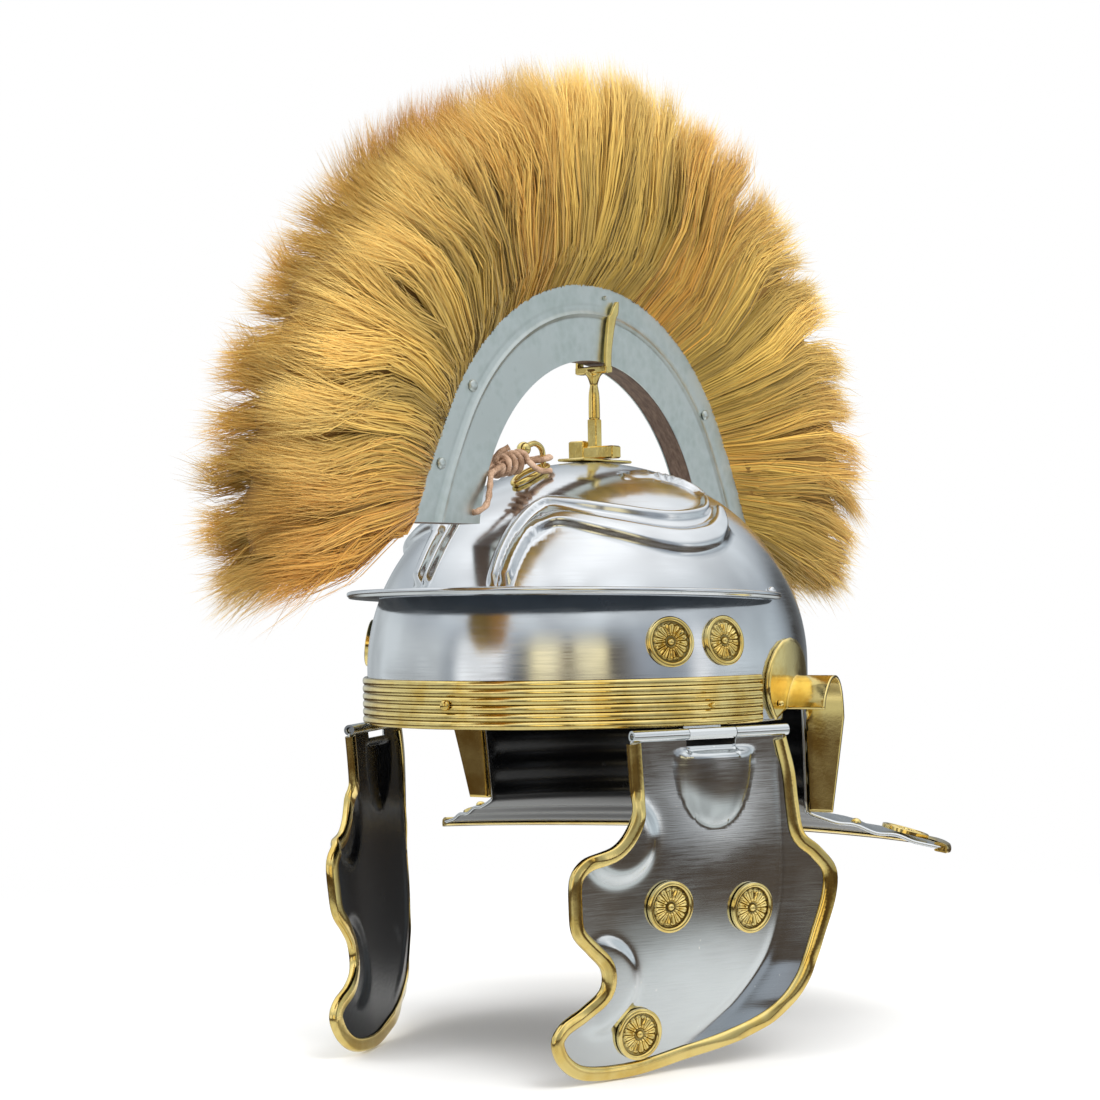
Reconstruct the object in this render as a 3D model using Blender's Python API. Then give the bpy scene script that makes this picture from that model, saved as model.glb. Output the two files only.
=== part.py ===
"""Roman legionary helmet with a fore-and-aft fur crest, built as separate closed pieces.

Lengths are metres and angles degrees. +X is the wearer's left, -Y the front and +Z up. Shapes are
worked out with height zero at the bottom edge of the brow band. One empty then lowers everything, so
that the origin is the inside of the crown, where the helmet sits on a head. Azimuths run from the
front towards the wearer's left.
"""

import math
from typing import NamedTuple

import bpy
import bmesh
import numpy as np
from mathutils import Vector
from mathutils.geometry import delaunay_2d_cdt

# Clearance between neighbouring pieces
GAP = 0.0003

# Skull bowl and neck guard
HALF_WIDTH = 0.1037
HALF_LENGTH = 0.115
CROWN_HEIGHT = 0.125
WALL_HEIGHT = 0.026
SHEET = 0.0015
NAPE_DROP = 0.046
NAPE_RIBS = 3
NAPE_RIB_RAISE = 0.0016
NECK_HALF_WIDTH = 0.1526
NECK_FRONT = 0.076
NECK_BACK = 0.168
NECK_DROP = 0.0175
NECK_CORNER = 1.25
NECK_RIDGE_RAISE = 0.0014
NECK_COLUMNS = 13
NECK_ROSETTE = (0.075, 0.68)
NECK_RIVET = (0.028, 0.325)
EDGING_WIDTH = 0.0055
EDGING_WALL = 0.0008

# Raised eyebrows
LOWER_BROW_RAISE = 0.0042
UPPER_BROW_RAISE = 0.0030

# Brow band and brow guard
BAND_HEIGHT = 0.022
BAND_THICKNESS = 0.0012
BAND_REEDS = 6
BAND_REED_RAISE = 0.0009
BAND_END = 84.0
GUARD_HEIGHT = 0.0612
GUARD_DROOP = 0.0045
GUARD_REACH = 0.0175
GUARD_PLATE = 0.0014
GUARD_LIP = 0.0036
GUARD_END = 96.0

# Turned brass: rosettes and rivets
ROSETTE_RADIUS = 0.0115
ROSETTE_HEIGHT = 0.0016
ROSETTE_LEVEL = 0.038
ROSETTE_AZIMUTHS = (57.5, 72.6)
BAND_RIVET_AZIMUTH = 66.5
RIVET_RADIUS = 0.0032
RIVET_HEIGHT = 0.0019

# Ear guards
EAR_PLATE_RADIUS = 0.022
EAR_FLANGE = 0.0200
EAR_SHEET = 0.0012
EAR_RIVET_AZIMUTH = 91.8
EAR_RIVET_LEVEL = 0.0105

# Cheek guards: the hinge is a straight chord under the rim
HINGE_FORWARD = (-0.390, -0.921)
HINGE_SIDE = 0.947 * HALF_WIDTH
HINGE_AHEAD = 0.4052 * HALF_LENGTH
HINGE_DROP = 0.0034
CHEEK_WIDTH = 0.156
CHEEK_HEIGHT = 0.1505
CHEEK_SHEET = 0.0012
CHEEK_EDGE_STEPS = 38
CHEEK_MESH = 0.016
CHEEK_LEAN = 4.0
BOSS_RAISE = 0.0045
CHEEK_BULGE = 0.004
CHEEK_FRONT_FLARE = 0.0045
CHEEK_BACK_FLARE = 0.010
KNUCKLE_RADIUS = 0.0026
PIN_RADIUS = 0.0012
KNUCKLE_SPAN = 0.0425
LEAF_HALF_WIDTH = 0.0128
LEAF_HEIGHT = 0.016
LEAF_SHEET = 0.001

# Crest box: an arch from front to back, its middle inside the bowl
ARCH_BELOW_CROWN = 0.047
ARCH_HEIGHT = CROWN_HEIGHT - ARCH_BELOW_CROWN
ARCH_OUTER = 0.1346
ARCH_INNER = 0.0966
ARCH_FOOT = ARCH_HEIGHT + 0.015
ARCH_FLARE = 0.010
CREST_CORE = 0.0110
CREST_SHEET = 0.0010
LACE_HOLE_RADIUS = 0.0023

# Plume
PLUME_REACH = 0.110
PLUME_HALF_WIDTH = 0.029
PLUME_LOCKS = 13
PLUME_SPREAD = 1.11

# Crest holder on the crown
STEM_RADIUS = 0.0027
HOLDER_WIDTH = 0.016
HOLDER_LENGTH = 0.042
HOLDER_SHEET = 0.0014
KEY_LENGTH = 0.026
HOLDER_BACK = 0.008
FORK_TOP = ARCH_HEIGHT + 0.127
PRONG = 0.002

# Front hook and lace
HOOK_Y = -0.313 * HALF_LENGTH
HOOK_WIRE = 0.0014
HOOK_BALL = 0.0034
LACE_DIAMETER = 0.0028
LACE_WRAP_RADIUS = 0.0047
LACE_WRAP_TURNS = 4

SEAT = Vector((0.0, 0.0, SHEET - CROWN_HEIGHT))


class Finish(NamedTuple):
    """Plain colour of a material."""

    red: float
    green: float
    blue: float
    metallic: float
    roughness: float


FINISHES = {
    "steel": Finish(0.62, 0.64, 0.66, 1.0, 0.18),
    "brass": Finish(0.72, 0.50, 0.16, 1.0, 0.22),
    "galvanised": Finish(0.52, 0.57, 0.56, 1.0, 0.45),
    "wood": Finish(0.13, 0.08, 0.05, 0.0, 0.70),
    "fur": Finish(0.62, 0.36, 0.11, 0.0, 0.85),
    "leather": Finish(0.52, 0.36, 0.26, 0.0, 0.75),
}


class BrowRow(NamedTuple):
    """A point of a raised eyebrow's centre line, heights and widths as shares of the crown height."""

    azimuth: float
    height: float
    half_width: float


LOWER_BROW = (
    BrowRow(15.2, 0.55, 0.026),
    BrowRow(15.6, 0.60, 0.028),
    BrowRow(18.0, 0.69, 0.034),
    BrowRow(23.0, 0.74, 0.040),
    BrowRow(30.0, 0.755, 0.045),
    BrowRow(45.0, 0.72, 0.055),
    BrowRow(65.0, 0.672, 0.070),
    BrowRow(78.0, 0.685, 0.066),
    BrowRow(86.0, 0.72, 0.050),
    BrowRow(93.0, 0.78, 0.034),
)
UPPER_BROW = (
    BrowRow(12.3, 0.55, 0.016),
    BrowRow(12.6, 0.64, 0.018),
    BrowRow(14.0, 0.74, 0.022),
    BrowRow(18.0, 0.808, 0.025),
    BrowRow(25.0, 0.828, 0.026),
    BrowRow(47.0, 0.794, 0.026),
    BrowRow(67.0, 0.766, 0.026),
    BrowRow(84.0, 0.784, 0.020),
    BrowRow(92.0, 0.812, 0.014),
)


class ArchRow(NamedTuple):
    """A point of the cut-out over the ear, as shares of the half length and the nape drop."""

    back: float
    height: float


EAR_ARCH = (
    ArchRow(0.075, 0.0),
    ArchRow(0.095, 0.22),
    ArchRow(0.157, 0.41),
    ArchRow(0.243, 0.43),
    ArchRow(0.322, 0.26),
    ArchRow(0.357, -0.11),
    ArchRow(0.391, -1.0),
)


class EdgeRow(NamedTuple):
    """A point of the cheek guard's edge, as shares of its width ahead of the hinge middle and height."""

    forward: float
    down: float


CHEEK_EDGE = (
    EdgeRow(0.281, 0.021),
    EdgeRow(0.272, 0.120),
    EdgeRow(0.268, 0.200),
    EdgeRow(0.292, 0.268),
    EdgeRow(0.340, 0.318),
    EdgeRow(0.425, 0.345),
    EdgeRow(0.478, 0.395),
    EdgeRow(0.480, 0.490),
    EdgeRow(0.466, 0.565),
    EdgeRow(0.412, 0.622),
    EdgeRow(0.364, 0.675),
    EdgeRow(0.366, 0.738),
    EdgeRow(0.430, 0.786),
    EdgeRow(0.505, 0.822),
    EdgeRow(0.535, 0.872),
    EdgeRow(0.500, 0.942),
    EdgeRow(0.415, 0.990),
    EdgeRow(0.260, 1.000),
    EdgeRow(0.090, 0.974),
    EdgeRow(-0.100, 0.935),
    EdgeRow(-0.262, 0.872),
    EdgeRow(-0.352, 0.762),
    EdgeRow(-0.392, 0.620),
    EdgeRow(-0.414, 0.510),
    EdgeRow(-0.410, 0.425),
    EdgeRow(-0.366, 0.362),
    EdgeRow(-0.318, 0.315),
    EdgeRow(-0.302, 0.225),
    EdgeRow(-0.290, 0.120),
    EdgeRow(-0.262, 0.021),
)
CHEEK_ROSETTES = (EdgeRow(0.149, 0.505), EdgeRow(-0.137, 0.531), EdgeRow(0.235, 0.878))


class PlumeRow(NamedTuple):
    """Reach of the fur at a share of the fan, from the front (-1) to the back (1), and its fullness."""

    place: float
    reach: float
    fullness: float


PLUME_ROWS = (
    PlumeRow(-1.00, 1.04, 0.95),
    PlumeRow(-0.80, 1.02, 1.06),
    PlumeRow(-0.55, 0.95, 1.10),
    PlumeRow(-0.28, 0.93, 1.15),
    PlumeRow(0.00, 0.93, 1.12),
    PlumeRow(0.30, 0.99, 1.05),
    PlumeRow(0.60, 1.06, 1.04),
    PlumeRow(0.85, 1.09, 1.00),
    PlumeRow(1.00, 0.92, 0.80),
)


def clear_scene():
    """Remove the objects that the file opens with."""
    for item in list(bpy.data.objects):
        bpy.data.objects.remove(item)


def make_material(name):
    """Principled material of one finish."""
    finish = FINISHES[name]
    material = bpy.data.materials.new(name)
    material.use_nodes = True
    shader = material.node_tree.nodes["Principled BSDF"]
    shader.inputs["Base Color"].default_value = (finish.red, finish.green, finish.blue, 1.0)
    shader.inputs["Metallic"].default_value = finish.metallic
    shader.inputs["Roughness"].default_value = finish.roughness
    return material


def make_empty(name, place, parent=None):
    """Empty that carries pieces, at a place given in its parent's frame."""
    empty = bpy.data.objects.new(name, None)
    empty.location = place
    empty.parent = parent
    bpy.context.collection.objects.link(empty)
    return empty


def add_piece(name, shape, material, parent, closed=True, side=1, smooth=True):
    """Object from points and faces; side -1 mirrors it to the wearer's right."""
    points, faces = shape
    points = np.array(points, dtype=float)
    points[:, 0] *= side
    points = points - np.array(parent.location if parent.parent else (0.0, 0.0, 0.0))
    mesh = bpy.data.meshes.new(name)
    mesh.from_pydata(points.tolist(), [], [list(face)[::side] for face in faces])
    if closed:
        work = bmesh.new()
        work.from_mesh(mesh)
        bmesh.ops.recalc_face_normals(work, faces=work.faces)
        work.to_mesh(mesh)
        work.free()
    if smooth:
        mesh.shade_smooth()
        mesh.set_sharp_from_angle(angle=math.radians(35.0))
    mesh.materials.append(MATERIALS[material])
    item = bpy.data.objects.new(name, mesh)
    item.parent = parent
    bpy.context.collection.objects.link(item)
    return item


def thicken(item, thickness):
    """Give an open surface a wall on the side away from its normals."""
    wall = item.modifiers.new("wall", "SOLIDIFY")
    wall.thickness = thickness
    wall.offset = -1.0
    return wall


def combine(item, other, operation):
    """Join another object to this one, or cut it away, and hide the other."""
    step = item.modifiers.new(other.name, "BOOLEAN")
    step.operation = operation
    step.solver = "EXACT"
    step.object = other
    other.hide_render = True
    other.display_type = "WIRE"


def lattice(index, closed=False):
    """Quads between the neighbours of a table of point numbers, closed round its columns or not."""
    if closed:
        index = np.concatenate([index, index[:, :1]], axis=1)
    corners = (index[:-1, :-1], index[1:, :-1], index[1:, 1:], index[:-1, 1:])
    return np.stack(corners, axis=-1).reshape(-1, 4).tolist()


def loft(sections, closed=False):
    """Closed skin through equal sections, each a ring of points, capped at both ends or closed."""
    sections = np.asarray(sections, dtype=float)
    count, ring = sections.shape[:2]
    index = np.arange(count * ring).reshape(count, ring)
    faces = lattice(index, closed=True)
    if closed:
        faces += lattice(np.stack([index[-1], index[0]]), closed=True)
    else:
        faces += [index[0].tolist(), index[-1][::-1].tolist()]
    return sections.reshape(-1, 3), faces


def turned(profile, sides, origin=(0.0, 0.0, 0.0), axis=(0.0, 0.0, 1.0)):
    """Solid of revolution about an axis, from (radius, height) points that start and end on it."""
    turn = Vector((0.0, 0.0, 1.0)).rotation_difference(Vector(axis)).to_matrix()
    angles = np.linspace(0.0, 2.0 * math.pi, sides, endpoint=False)
    rings = [(r * np.cos(angles), r * np.sin(angles), np.full(sides, h)) for r, h in profile[1:-1]]
    body = np.stack([np.stack(ring, axis=-1) for ring in rings]).reshape(-1, 3)
    poles = np.array([(0.0, 0.0, profile[0][1]), (0.0, 0.0, profile[-1][1])])
    points = np.concatenate([body, poles]) @ np.array(turn).T + np.array(origin)
    index = np.arange(len(body)).reshape(-1, sides)
    faces = lattice(index, closed=True)
    for ring, pole in ((index[0], len(body)), (index[-1], len(body) + 1)):
        faces += [[int(a), int(b), pole] for a, b in zip(ring, np.roll(ring, -1))]
    return points, faces


def box(low, high):
    """Closed box between two corners."""
    x0, y0, z0 = low
    x1, y1, z1 = high
    ends = [[(x, y0, z0), (x, y1, z0), (x, y1, z1), (x, y0, z1)] for x in (x0, x1)]
    return loft(ends)


def spline(rows, samples):
    """Smooth curve through the rows of a table, a few samples for each span."""
    rows = np.asarray(rows, dtype=float)
    padded = np.concatenate([2 * rows[:1] - rows[1:2], rows, 2 * rows[-1:] - rows[-2:-1]])
    spans = np.arange(len(rows) - 1)
    steps = np.linspace(0.0, 1.0, samples, endpoint=False)
    p0, p1, p2, p3 = (padded[spans + k][:, None, :] for k in range(4))
    t = steps[None, :, None]
    curve = 0.5 * (2 * p1 + (p2 - p0) * t + (2 * p0 - 5 * p1 + 4 * p2 - p3) * t**2
                   + (3 * p1 - p0 - 3 * p2 + p3) * t**3)
    return np.concatenate([curve.reshape(-1, rows.shape[1]), rows[-1:]])


def bowl_normal(points):
    """Outward direction of the bowl's half ellipsoid on its straight wall."""
    points = np.asarray(points, dtype=float)
    rise = np.maximum(points[..., 2] - WALL_HEIGHT, 0.0)
    normal = np.stack([points[..., 0] / HALF_WIDTH**2, points[..., 1] / HALF_LENGTH**2,
                       rise / (CROWN_HEIGHT - WALL_HEIGHT) ** 2], axis=-1)
    return normal / np.linalg.norm(normal, axis=-1, keepdims=True)


def bowl_point(azimuth, height, out=0.0):
    """Point on the bowl's outer face at an azimuth and height, moved outwards by out."""
    azimuth, height = np.broadcast_arrays(np.radians(azimuth), np.asarray(height, dtype=float))
    rise = np.clip((height - WALL_HEIGHT) / (CROWN_HEIGHT - WALL_HEIGHT), 0.0, 1.0)
    share = np.sqrt(1.0 - rise**2)
    points = np.stack([HALF_WIDTH * share * np.sin(azimuth), -HALF_LENGTH * share * np.cos(azimuth),
                       height], axis=-1)
    return points + np.asarray(out)[..., None] * bowl_normal(points)


def rib_raise(azimuth, height, rows, raise_by):
    """Height of a rounded rib that follows a centre line drawn on the bowl."""
    path = spline([(row.azimuth, row.height * CROWN_HEIGHT, row.half_width * CROWN_HEIGHT)
                   for row in rows], 8)
    across = math.radians(1.0) * HALF_WIDTH
    spot = np.stack([np.abs(azimuth) * across, height], axis=-1)[..., None, :]
    line = np.stack([path[:, 0] * across, path[:, 1]], axis=-1)
    distance = np.linalg.norm(spot - line, axis=-1) / path[:, 2]
    nearest = np.clip(distance.min(axis=-1), 0.0, 1.0)
    return raise_by * 0.5 * (1.0 + np.cos(math.pi * nearest))


def ear_arch():
    """Azimuth and height of each point of the cut-out over the ear."""
    azimuths = [math.degrees(math.acos(-row.back)) for row in EAR_ARCH]
    return azimuths, [row.height * NAPE_DROP for row in EAR_ARCH]


def bowl_surface():
    """Open surface of the bowl's outer face, from the crown to the rim, the nape and the neck guard."""
    ear_azimuths, ear_heights = ear_arch()
    front = np.concatenate([[0.0, 7.0], np.linspace(11.5, 26.0, 6), np.linspace(34.0, BAND_END + 4.0, 7)])
    half = np.concatenate([front, ear_azimuths])
    nape = np.linspace(ear_azimuths[-1], 360.0 - ear_azimuths[-1], NECK_COLUMNS)
    azimuths = np.concatenate([half, nape[1:-1], 360.0 - half[:0:-1]])
    folded = np.minimum(azimuths, 360.0 - azimuths)
    rim = np.interp(folded, np.concatenate([[0.0], ear_azimuths]), [0.0] + ear_heights)

    lean = np.radians(np.concatenate([[12.0, 24.0], np.linspace(34.0, 62.0, 7), [75.0, 90.0]]))
    cap = WALL_HEIGHT + (CROWN_HEIGHT - WALL_HEIGHT) * np.cos(lean)
    wall = np.linspace(0.0, 1.0, 6)[1:]
    heights = np.concatenate([np.repeat(cap[:, None], len(azimuths), axis=1),
                              WALL_HEIGHT + wall[:, None] * (rim - WALL_HEIGHT)])
    ribs = np.sin(math.pi * NAPE_RIBS * np.clip(-heights / NAPE_DROP, 0.0, 1.0)) ** 2
    out = rib_raise(np.broadcast_to(folded, heights.shape), heights, LOWER_BROW, LOWER_BROW_RAISE)
    out = out + rib_raise(np.broadcast_to(folded, heights.shape), heights, UPPER_BROW, UPPER_BROW_RAISE)
    out = out + NAPE_RIB_RAISE * ribs * (folded > ear_azimuths[-1] + 1.0)
    points = bowl_point(np.broadcast_to(azimuths, heights.shape), heights, out)
    index = np.arange(points[..., 0].size).reshape(heights.shape)
    faces = lattice(index, closed=True)
    crown = points[..., 0].size
    faces += [[crown, int(a), int(b)] for a, b in zip(index[0], np.roll(index[0], -1))]

    first = len(half) - 1
    nape_index = index[-1, first:first + len(nape)]
    reaches = np.array([0.16, 0.34, 0.52, 0.7, 0.86, 1.0])
    guard = neck_guard_points(points[-1, first:first + len(nape)], reaches[:, None])
    guard_index = crown + 1 + np.arange(guard[..., 0].size).reshape(guard.shape[:2])
    faces += lattice(np.concatenate([nape_index[None], guard_index]))
    top = [(0.0, 0.0, CROWN_HEIGHT)]
    return np.concatenate([points.reshape(-1, 3), top, guard.reshape(-1, 3)]), faces


def neck_edge(share):
    """Edge of the neck guard in plan: a rounded oblong from one wing's corner to the other's."""
    turn = math.pi * np.asarray(share, dtype=float)
    across, back = np.cos(turn), np.sin(turn)
    x = NECK_HALF_WIDTH * np.sign(across) * np.abs(across) ** NECK_CORNER
    y = NECK_FRONT + (NECK_BACK - NECK_FRONT) * np.abs(back) ** NECK_CORNER
    z = -(NAPE_DROP + NECK_DROP) - 0.003 * back
    return np.stack([x, y, z], axis=-1)


def nape_line(columns):
    """Points where the bowl turns into the neck guard, from the left ear to the right."""
    start = ear_arch()[0][-1]
    return bowl_point(np.linspace(start, 360.0 - start, columns), -NAPE_DROP)


def neck_guard_points(nape, reaches):
    """Rows of the neck guard's upper face, from the nape (reach 0) to its edge (reach 1)."""
    edge = neck_edge(np.linspace(0.0, 1.0, len(nape)))
    reach = np.asarray(reaches)[..., None]
    ridge = NECK_RIDGE_RAISE * np.sin(2.0 * math.pi * np.clip((reach - 0.2) / 0.6, 0.0, 1.0)) ** 2
    plan = nape[:, :2] + reach * (edge - nape)[:, :2]
    height = nape[:, 2:] + (edge - nape)[:, 2:] * reach**0.8 + ridge
    return np.concatenate([plan, height], axis=-1)


def channel(run, sheet):
    """Folded edging: a C section open towards its sheet; run gives the points a way in from the edge."""
    slot = sheet / 2 + 1.6 * GAP
    outer = slot + EDGING_WALL
    section = [(-EDGING_WALL, -outer), (-EDGING_WALL, outer), (EDGING_WIDTH, outer), (EDGING_WIDTH, slot),
               (0.0, slot), (0.0, -slot), (EDGING_WIDTH, -slot), (EDGING_WIDTH, -outer)]
    return loft(np.stack([run(inward, rise) for inward, rise in section], axis=1))


def neck_channel():
    """Brass edging round the neck guard."""
    nape = nape_line(2 * NECK_COLUMNS - 1)
    edge = neck_edge(np.linspace(0.0, 1.0, len(nape)))
    reach = np.linalg.norm(edge - nape, axis=1)

    def run(inward, rise):
        share = 1.0 + (GAP - inward) / reach
        return neck_guard_points(nape, share[None])[0] + np.array([0.0, 0.0, rise - SHEET / 2])

    return channel(run, SHEET)


def band():
    """Reeded band round the brow, from one ear guard to the other."""
    steps = np.linspace(0.0, 1.0, 2 * BAND_REEDS + 1)
    reed = BAND_THICKNESS + BAND_REED_RAISE * (np.arange(len(steps)) % 2)
    section = [(GAP, BAND_HEIGHT), (GAP, 0.0)]
    section += [(GAP + float(r), float(s) * BAND_HEIGHT) for s, r in zip(steps, reed)]
    azimuths = np.linspace(-BAND_END, BAND_END, 21)
    return loft(np.stack([bowl_point(azimuths, h, out) for out, h in section], axis=1))


def peak():
    """Brow guard: a crescent shelf with a lip, deepest at the front and running out over the ears."""
    azimuths = np.linspace(-GUARD_END, GUARD_END, 31)
    turn = np.radians(azimuths)
    level = GUARD_HEIGHT - GUARD_DROOP * (azimuths / GUARD_END) ** 2
    reach = 0.003 + (GUARD_REACH - 0.003) * np.cos(turn * 90.0 / GUARD_END) ** 0.7
    root = bowl_point(azimuths, level, 3 * GAP)
    outward = np.stack([np.sin(turn) / HALF_WIDTH, -np.cos(turn) / HALF_LENGTH, np.zeros_like(turn)], axis=-1)
    outward /= np.linalg.norm(outward, axis=1, keepdims=True)
    half = GUARD_PLATE / 2
    section = [(0.0, -half), (0.0, half), (1.0, half), (1.0, GUARD_LIP - half), (1.0, -half)]
    widths = np.array([0.0, 0.0, -0.0012, 0.0, 0.0012])
    rings = []
    for (share, rise), extra in zip(section, widths):
        offset = (reach * share + extra)[:, None] * outward
        rings.append(root + offset + np.array([0.0, 0.0, rise]))
    return loft(np.stack(rings, axis=1))


def rosette(origin, axis, sides=11):
    """Round boss with a raised rim and a small knob."""
    r, h = ROSETTE_RADIUS, ROSETTE_HEIGHT
    profile = [(0.0, 0.0), (r, 0.0), (r, h), (0.2 * r, 0.8 * h), (0.0, 2.0 * h)]
    return turned(profile, sides, origin, axis)


def rivet(origin, axis, radius=RIVET_RADIUS, height=RIVET_HEIGHT):
    """Domed rivet head."""
    profile = [(0.0, 0.0), (radius, 0.0), (0.75 * radius, 0.75 * height), (0.0, height)]
    return turned(profile, 7, origin, axis)


def on_bowl(azimuth, height, out=GAP):
    """Seat on the bowl: a point just off its face and the outward direction there."""
    point = bowl_point(azimuth, height)
    normal = bowl_normal(point)
    return point + out * normal, normal


def ear_guard():
    """Plate over the ear with a flange that stands out from the cut-out's edge, as an open surface."""
    azimuths, heights = ear_arch()
    path = spline(list(zip(azimuths, heights)), 2)[1:]
    centre_azimuth = math.degrees(math.acos(-0.148))
    per_degree = math.radians(1.0) * HALF_WIDTH
    centre = np.array([centre_azimuth * per_degree, 0.35 * NAPE_DROP])
    flat = np.stack([path[:, 0] * per_degree, path[:, 1]], axis=-1)
    away = flat - centre
    away[:, 0] -= 0.004
    length = np.linalg.norm(away, axis=1, keepdims=True)
    outer = centre + away / length * EAR_PLATE_RADIUS
    web = flat + np.array([0.006, 0.0])
    lower = np.clip((0.10 * NAPE_DROP - flat[:, 1:]) / (0.3 * NAPE_DROP), 0.0, 1.0)
    lower *= flat[:, :1] > centre[0]
    outer = outer * (1.0 - lower) + web * lower
    rows = []
    for share in (0.0, 0.5, 1.0):
        spot = outer + (flat - outer) * share
        rows.append(bowl_point(spot[:, 0] / per_degree, spot[:, 1], EAR_SHEET + 2 * GAP))
    root = rows[-1]
    spread = np.array([EAR_FLANGE, 0.0, 0.0])
    taper = np.interp(flat[:, 1], [-NAPE_DROP, 0.0], [0.6, 1.0])[:, None]
    rows += [root + 0.5 * spread * taper, root + spread * taper]
    points = np.stack(rows)
    quads = lattice(np.arange(points[..., 0].size).reshape(points.shape[:2]))
    return points.reshape(-1, 3), [corners for a, b, c, d in quads for corners in ((a, b, c), (a, c, d))]


def hinge_place(forward, out, up):
    """Place in the model frame of a spot given along the left hinge, outwards and upwards from it."""
    forward, out, up = np.broadcast_arrays(forward, out, up)
    ahead = np.array([*HINGE_FORWARD, 0.0])
    outward = np.array([-HINGE_FORWARD[1], HINGE_FORWARD[0], 0.0])
    middle = np.array([HINGE_SIDE, -HINGE_AHEAD, -HINGE_DROP])
    return (middle + forward[..., None] * ahead + out[..., None] * outward
            + up[..., None] * np.array([0.0, 0.0, 1.0]))


def cheek_place(forward, out, up):
    """Place of a spot on the left cheek guard, which hangs with its lower edge leaning inwards."""
    lean = math.radians(CHEEK_LEAN)
    out, up = np.broadcast_arrays(out, up)
    return hinge_place(forward, out * math.cos(lean) + up * math.sin(lean),
                       up * math.cos(lean) - out * math.sin(lean))


def cheek_relief(forward, down):
    """Shape of the cheek guard across its thickness: the boss, the flared lobes and a slight bulge."""
    u, v = forward / CHEEK_WIDTH, down / CHEEK_HEIGHT
    boss = np.sqrt((u / 0.135) ** 2 + (np.maximum(v - 0.15, 0.0) / 0.145) ** 2)
    raised = BOSS_RAISE * np.clip((1.0 - boss) / 0.35, 0.0, 1.0) ** 1.5 * (v > 0.05)
    bulge = CHEEK_BULGE * np.sin(math.pi * v) ** 2 * np.exp(-((u / 0.35) ** 2))
    front = CHEEK_FRONT_FLARE * np.maximum((u - 0.25) / 0.25, 0.0) ** 2
    back = CHEEK_BACK_FLARE * np.maximum((-u - 0.20) / 0.21, 0.0) ** 2
    return raised + bulge + (front + back) * np.clip(v / 0.3, 0.0, 1.0)


def cheek_edge_curve():
    """Edge of the cheek guard as evenly spaced (forward, down) points and their inward directions."""
    rows = [(row.forward * CHEEK_WIDTH, row.down * CHEEK_HEIGHT) for row in CHEEK_EDGE]
    edge = spline(rows, 8)
    travel = np.concatenate([[0.0], np.linalg.norm(np.diff(edge, axis=0), axis=1).cumsum()])
    stops = np.linspace(0.0, travel[-1], CHEEK_EDGE_STEPS)
    edge = np.stack([np.interp(stops, travel, edge[:, 0]), np.interp(stops, travel, edge[:, 1])], axis=-1)
    along = np.gradient(edge, axis=0)
    inward = np.stack([-along[:, 1], along[:, 0]], axis=-1)
    return edge, inward / np.linalg.norm(inward, axis=1, keepdims=True)


def inside(points, outline):
    """Which points lie inside a closed outline, by counting crossings of a level line."""
    x, y = points[:, 0][:, None], points[:, 1][:, None]
    ax, ay = outline[:, 0], outline[:, 1]
    bx, by = np.roll(ax, -1), np.roll(ay, -1)
    crosses = (ay > y) != (by > y)
    with np.errstate(divide="ignore", invalid="ignore"):
        at = ax + (y - ay) * (bx - ax) / (by - ay)
    return (crosses & (x < at)).sum(axis=1) % 2 == 1


def cheek_plate():
    """Outer face of the cheek guard's plate, filled with a mesh of near-equal triangles."""
    edge, inward = cheek_edge_curve()
    side = edge + inward * (2 * GAP)
    top, notch = 0.73 * KNUCKLE_RADIUS, 2.1 * KNUCKLE_RADIUS
    leaf = LEAF_HALF_WIDTH + 2 * GAP
    head = np.array([(side[-1, 0], top), (-leaf, top), (-leaf, notch), (leaf, notch), (leaf, top),
                     (side[0, 0], top)])
    outline = np.concatenate([side, head])
    step = CHEEK_MESH
    columns = np.arange(-0.5 * CHEEK_WIDTH, 0.6 * CHEEK_WIDTH, step)
    lines = np.arange(0.0, CHEEK_HEIGHT, step * 0.87)
    u, v = np.meshgrid(columns, lines)
    u = u + np.where(np.arange(len(lines)) % 2, step / 2, 0.0)[:, None]
    spots = np.stack([u.ravel(), v.ravel()], axis=-1)
    border = edge[1:-1] + inward[1:-1] * (EDGING_WIDTH + 3 * GAP)
    border = border[inside(border, outline)]
    fixed = np.concatenate([outline, border])
    far = np.linalg.norm(spots[:, None] - fixed[None], axis=-1).min(axis=1) > 0.55 * step
    spots = np.concatenate([border, spots[far & inside(spots, outline)]])
    corners = [Vector(point) for point in np.concatenate([outline, spots])]
    count = len(outline)
    rim = [(k, (k + 1) % count) for k in range(count)]
    points, _, faces, *_ = delaunay_2d_cdt(corners, rim, [], 1, 1e-7)
    flat = np.array([tuple(point) for point in points])
    return cheek_place(flat[:, 0], cheek_relief(*flat.T) + CHEEK_SHEET / 2, -flat[:, 1]), faces


def outward_faces(shape, towards):
    """Turn the faces of an open surface so that their mean normal points along a direction."""
    points, faces = shape
    first, second, third = (points[[face[k] for face in faces]] for k in range(3))
    mean = np.cross(second - first, third - first).sum(axis=0)
    return points, faces if mean @ np.array(towards) > 0.0 else [list(face)[::-1] for face in faces]


def cheek_channel():
    """Brass edging down one side of the cheek guard, round it and up the other."""
    edge, towards = cheek_edge_curve()

    def run(inward, rise):
        spot = edge + towards * inward
        return cheek_place(spot[:, 0], cheek_relief(*spot.T) + rise, -spot[:, 1])

    return channel(run, CHEEK_SHEET)


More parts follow.
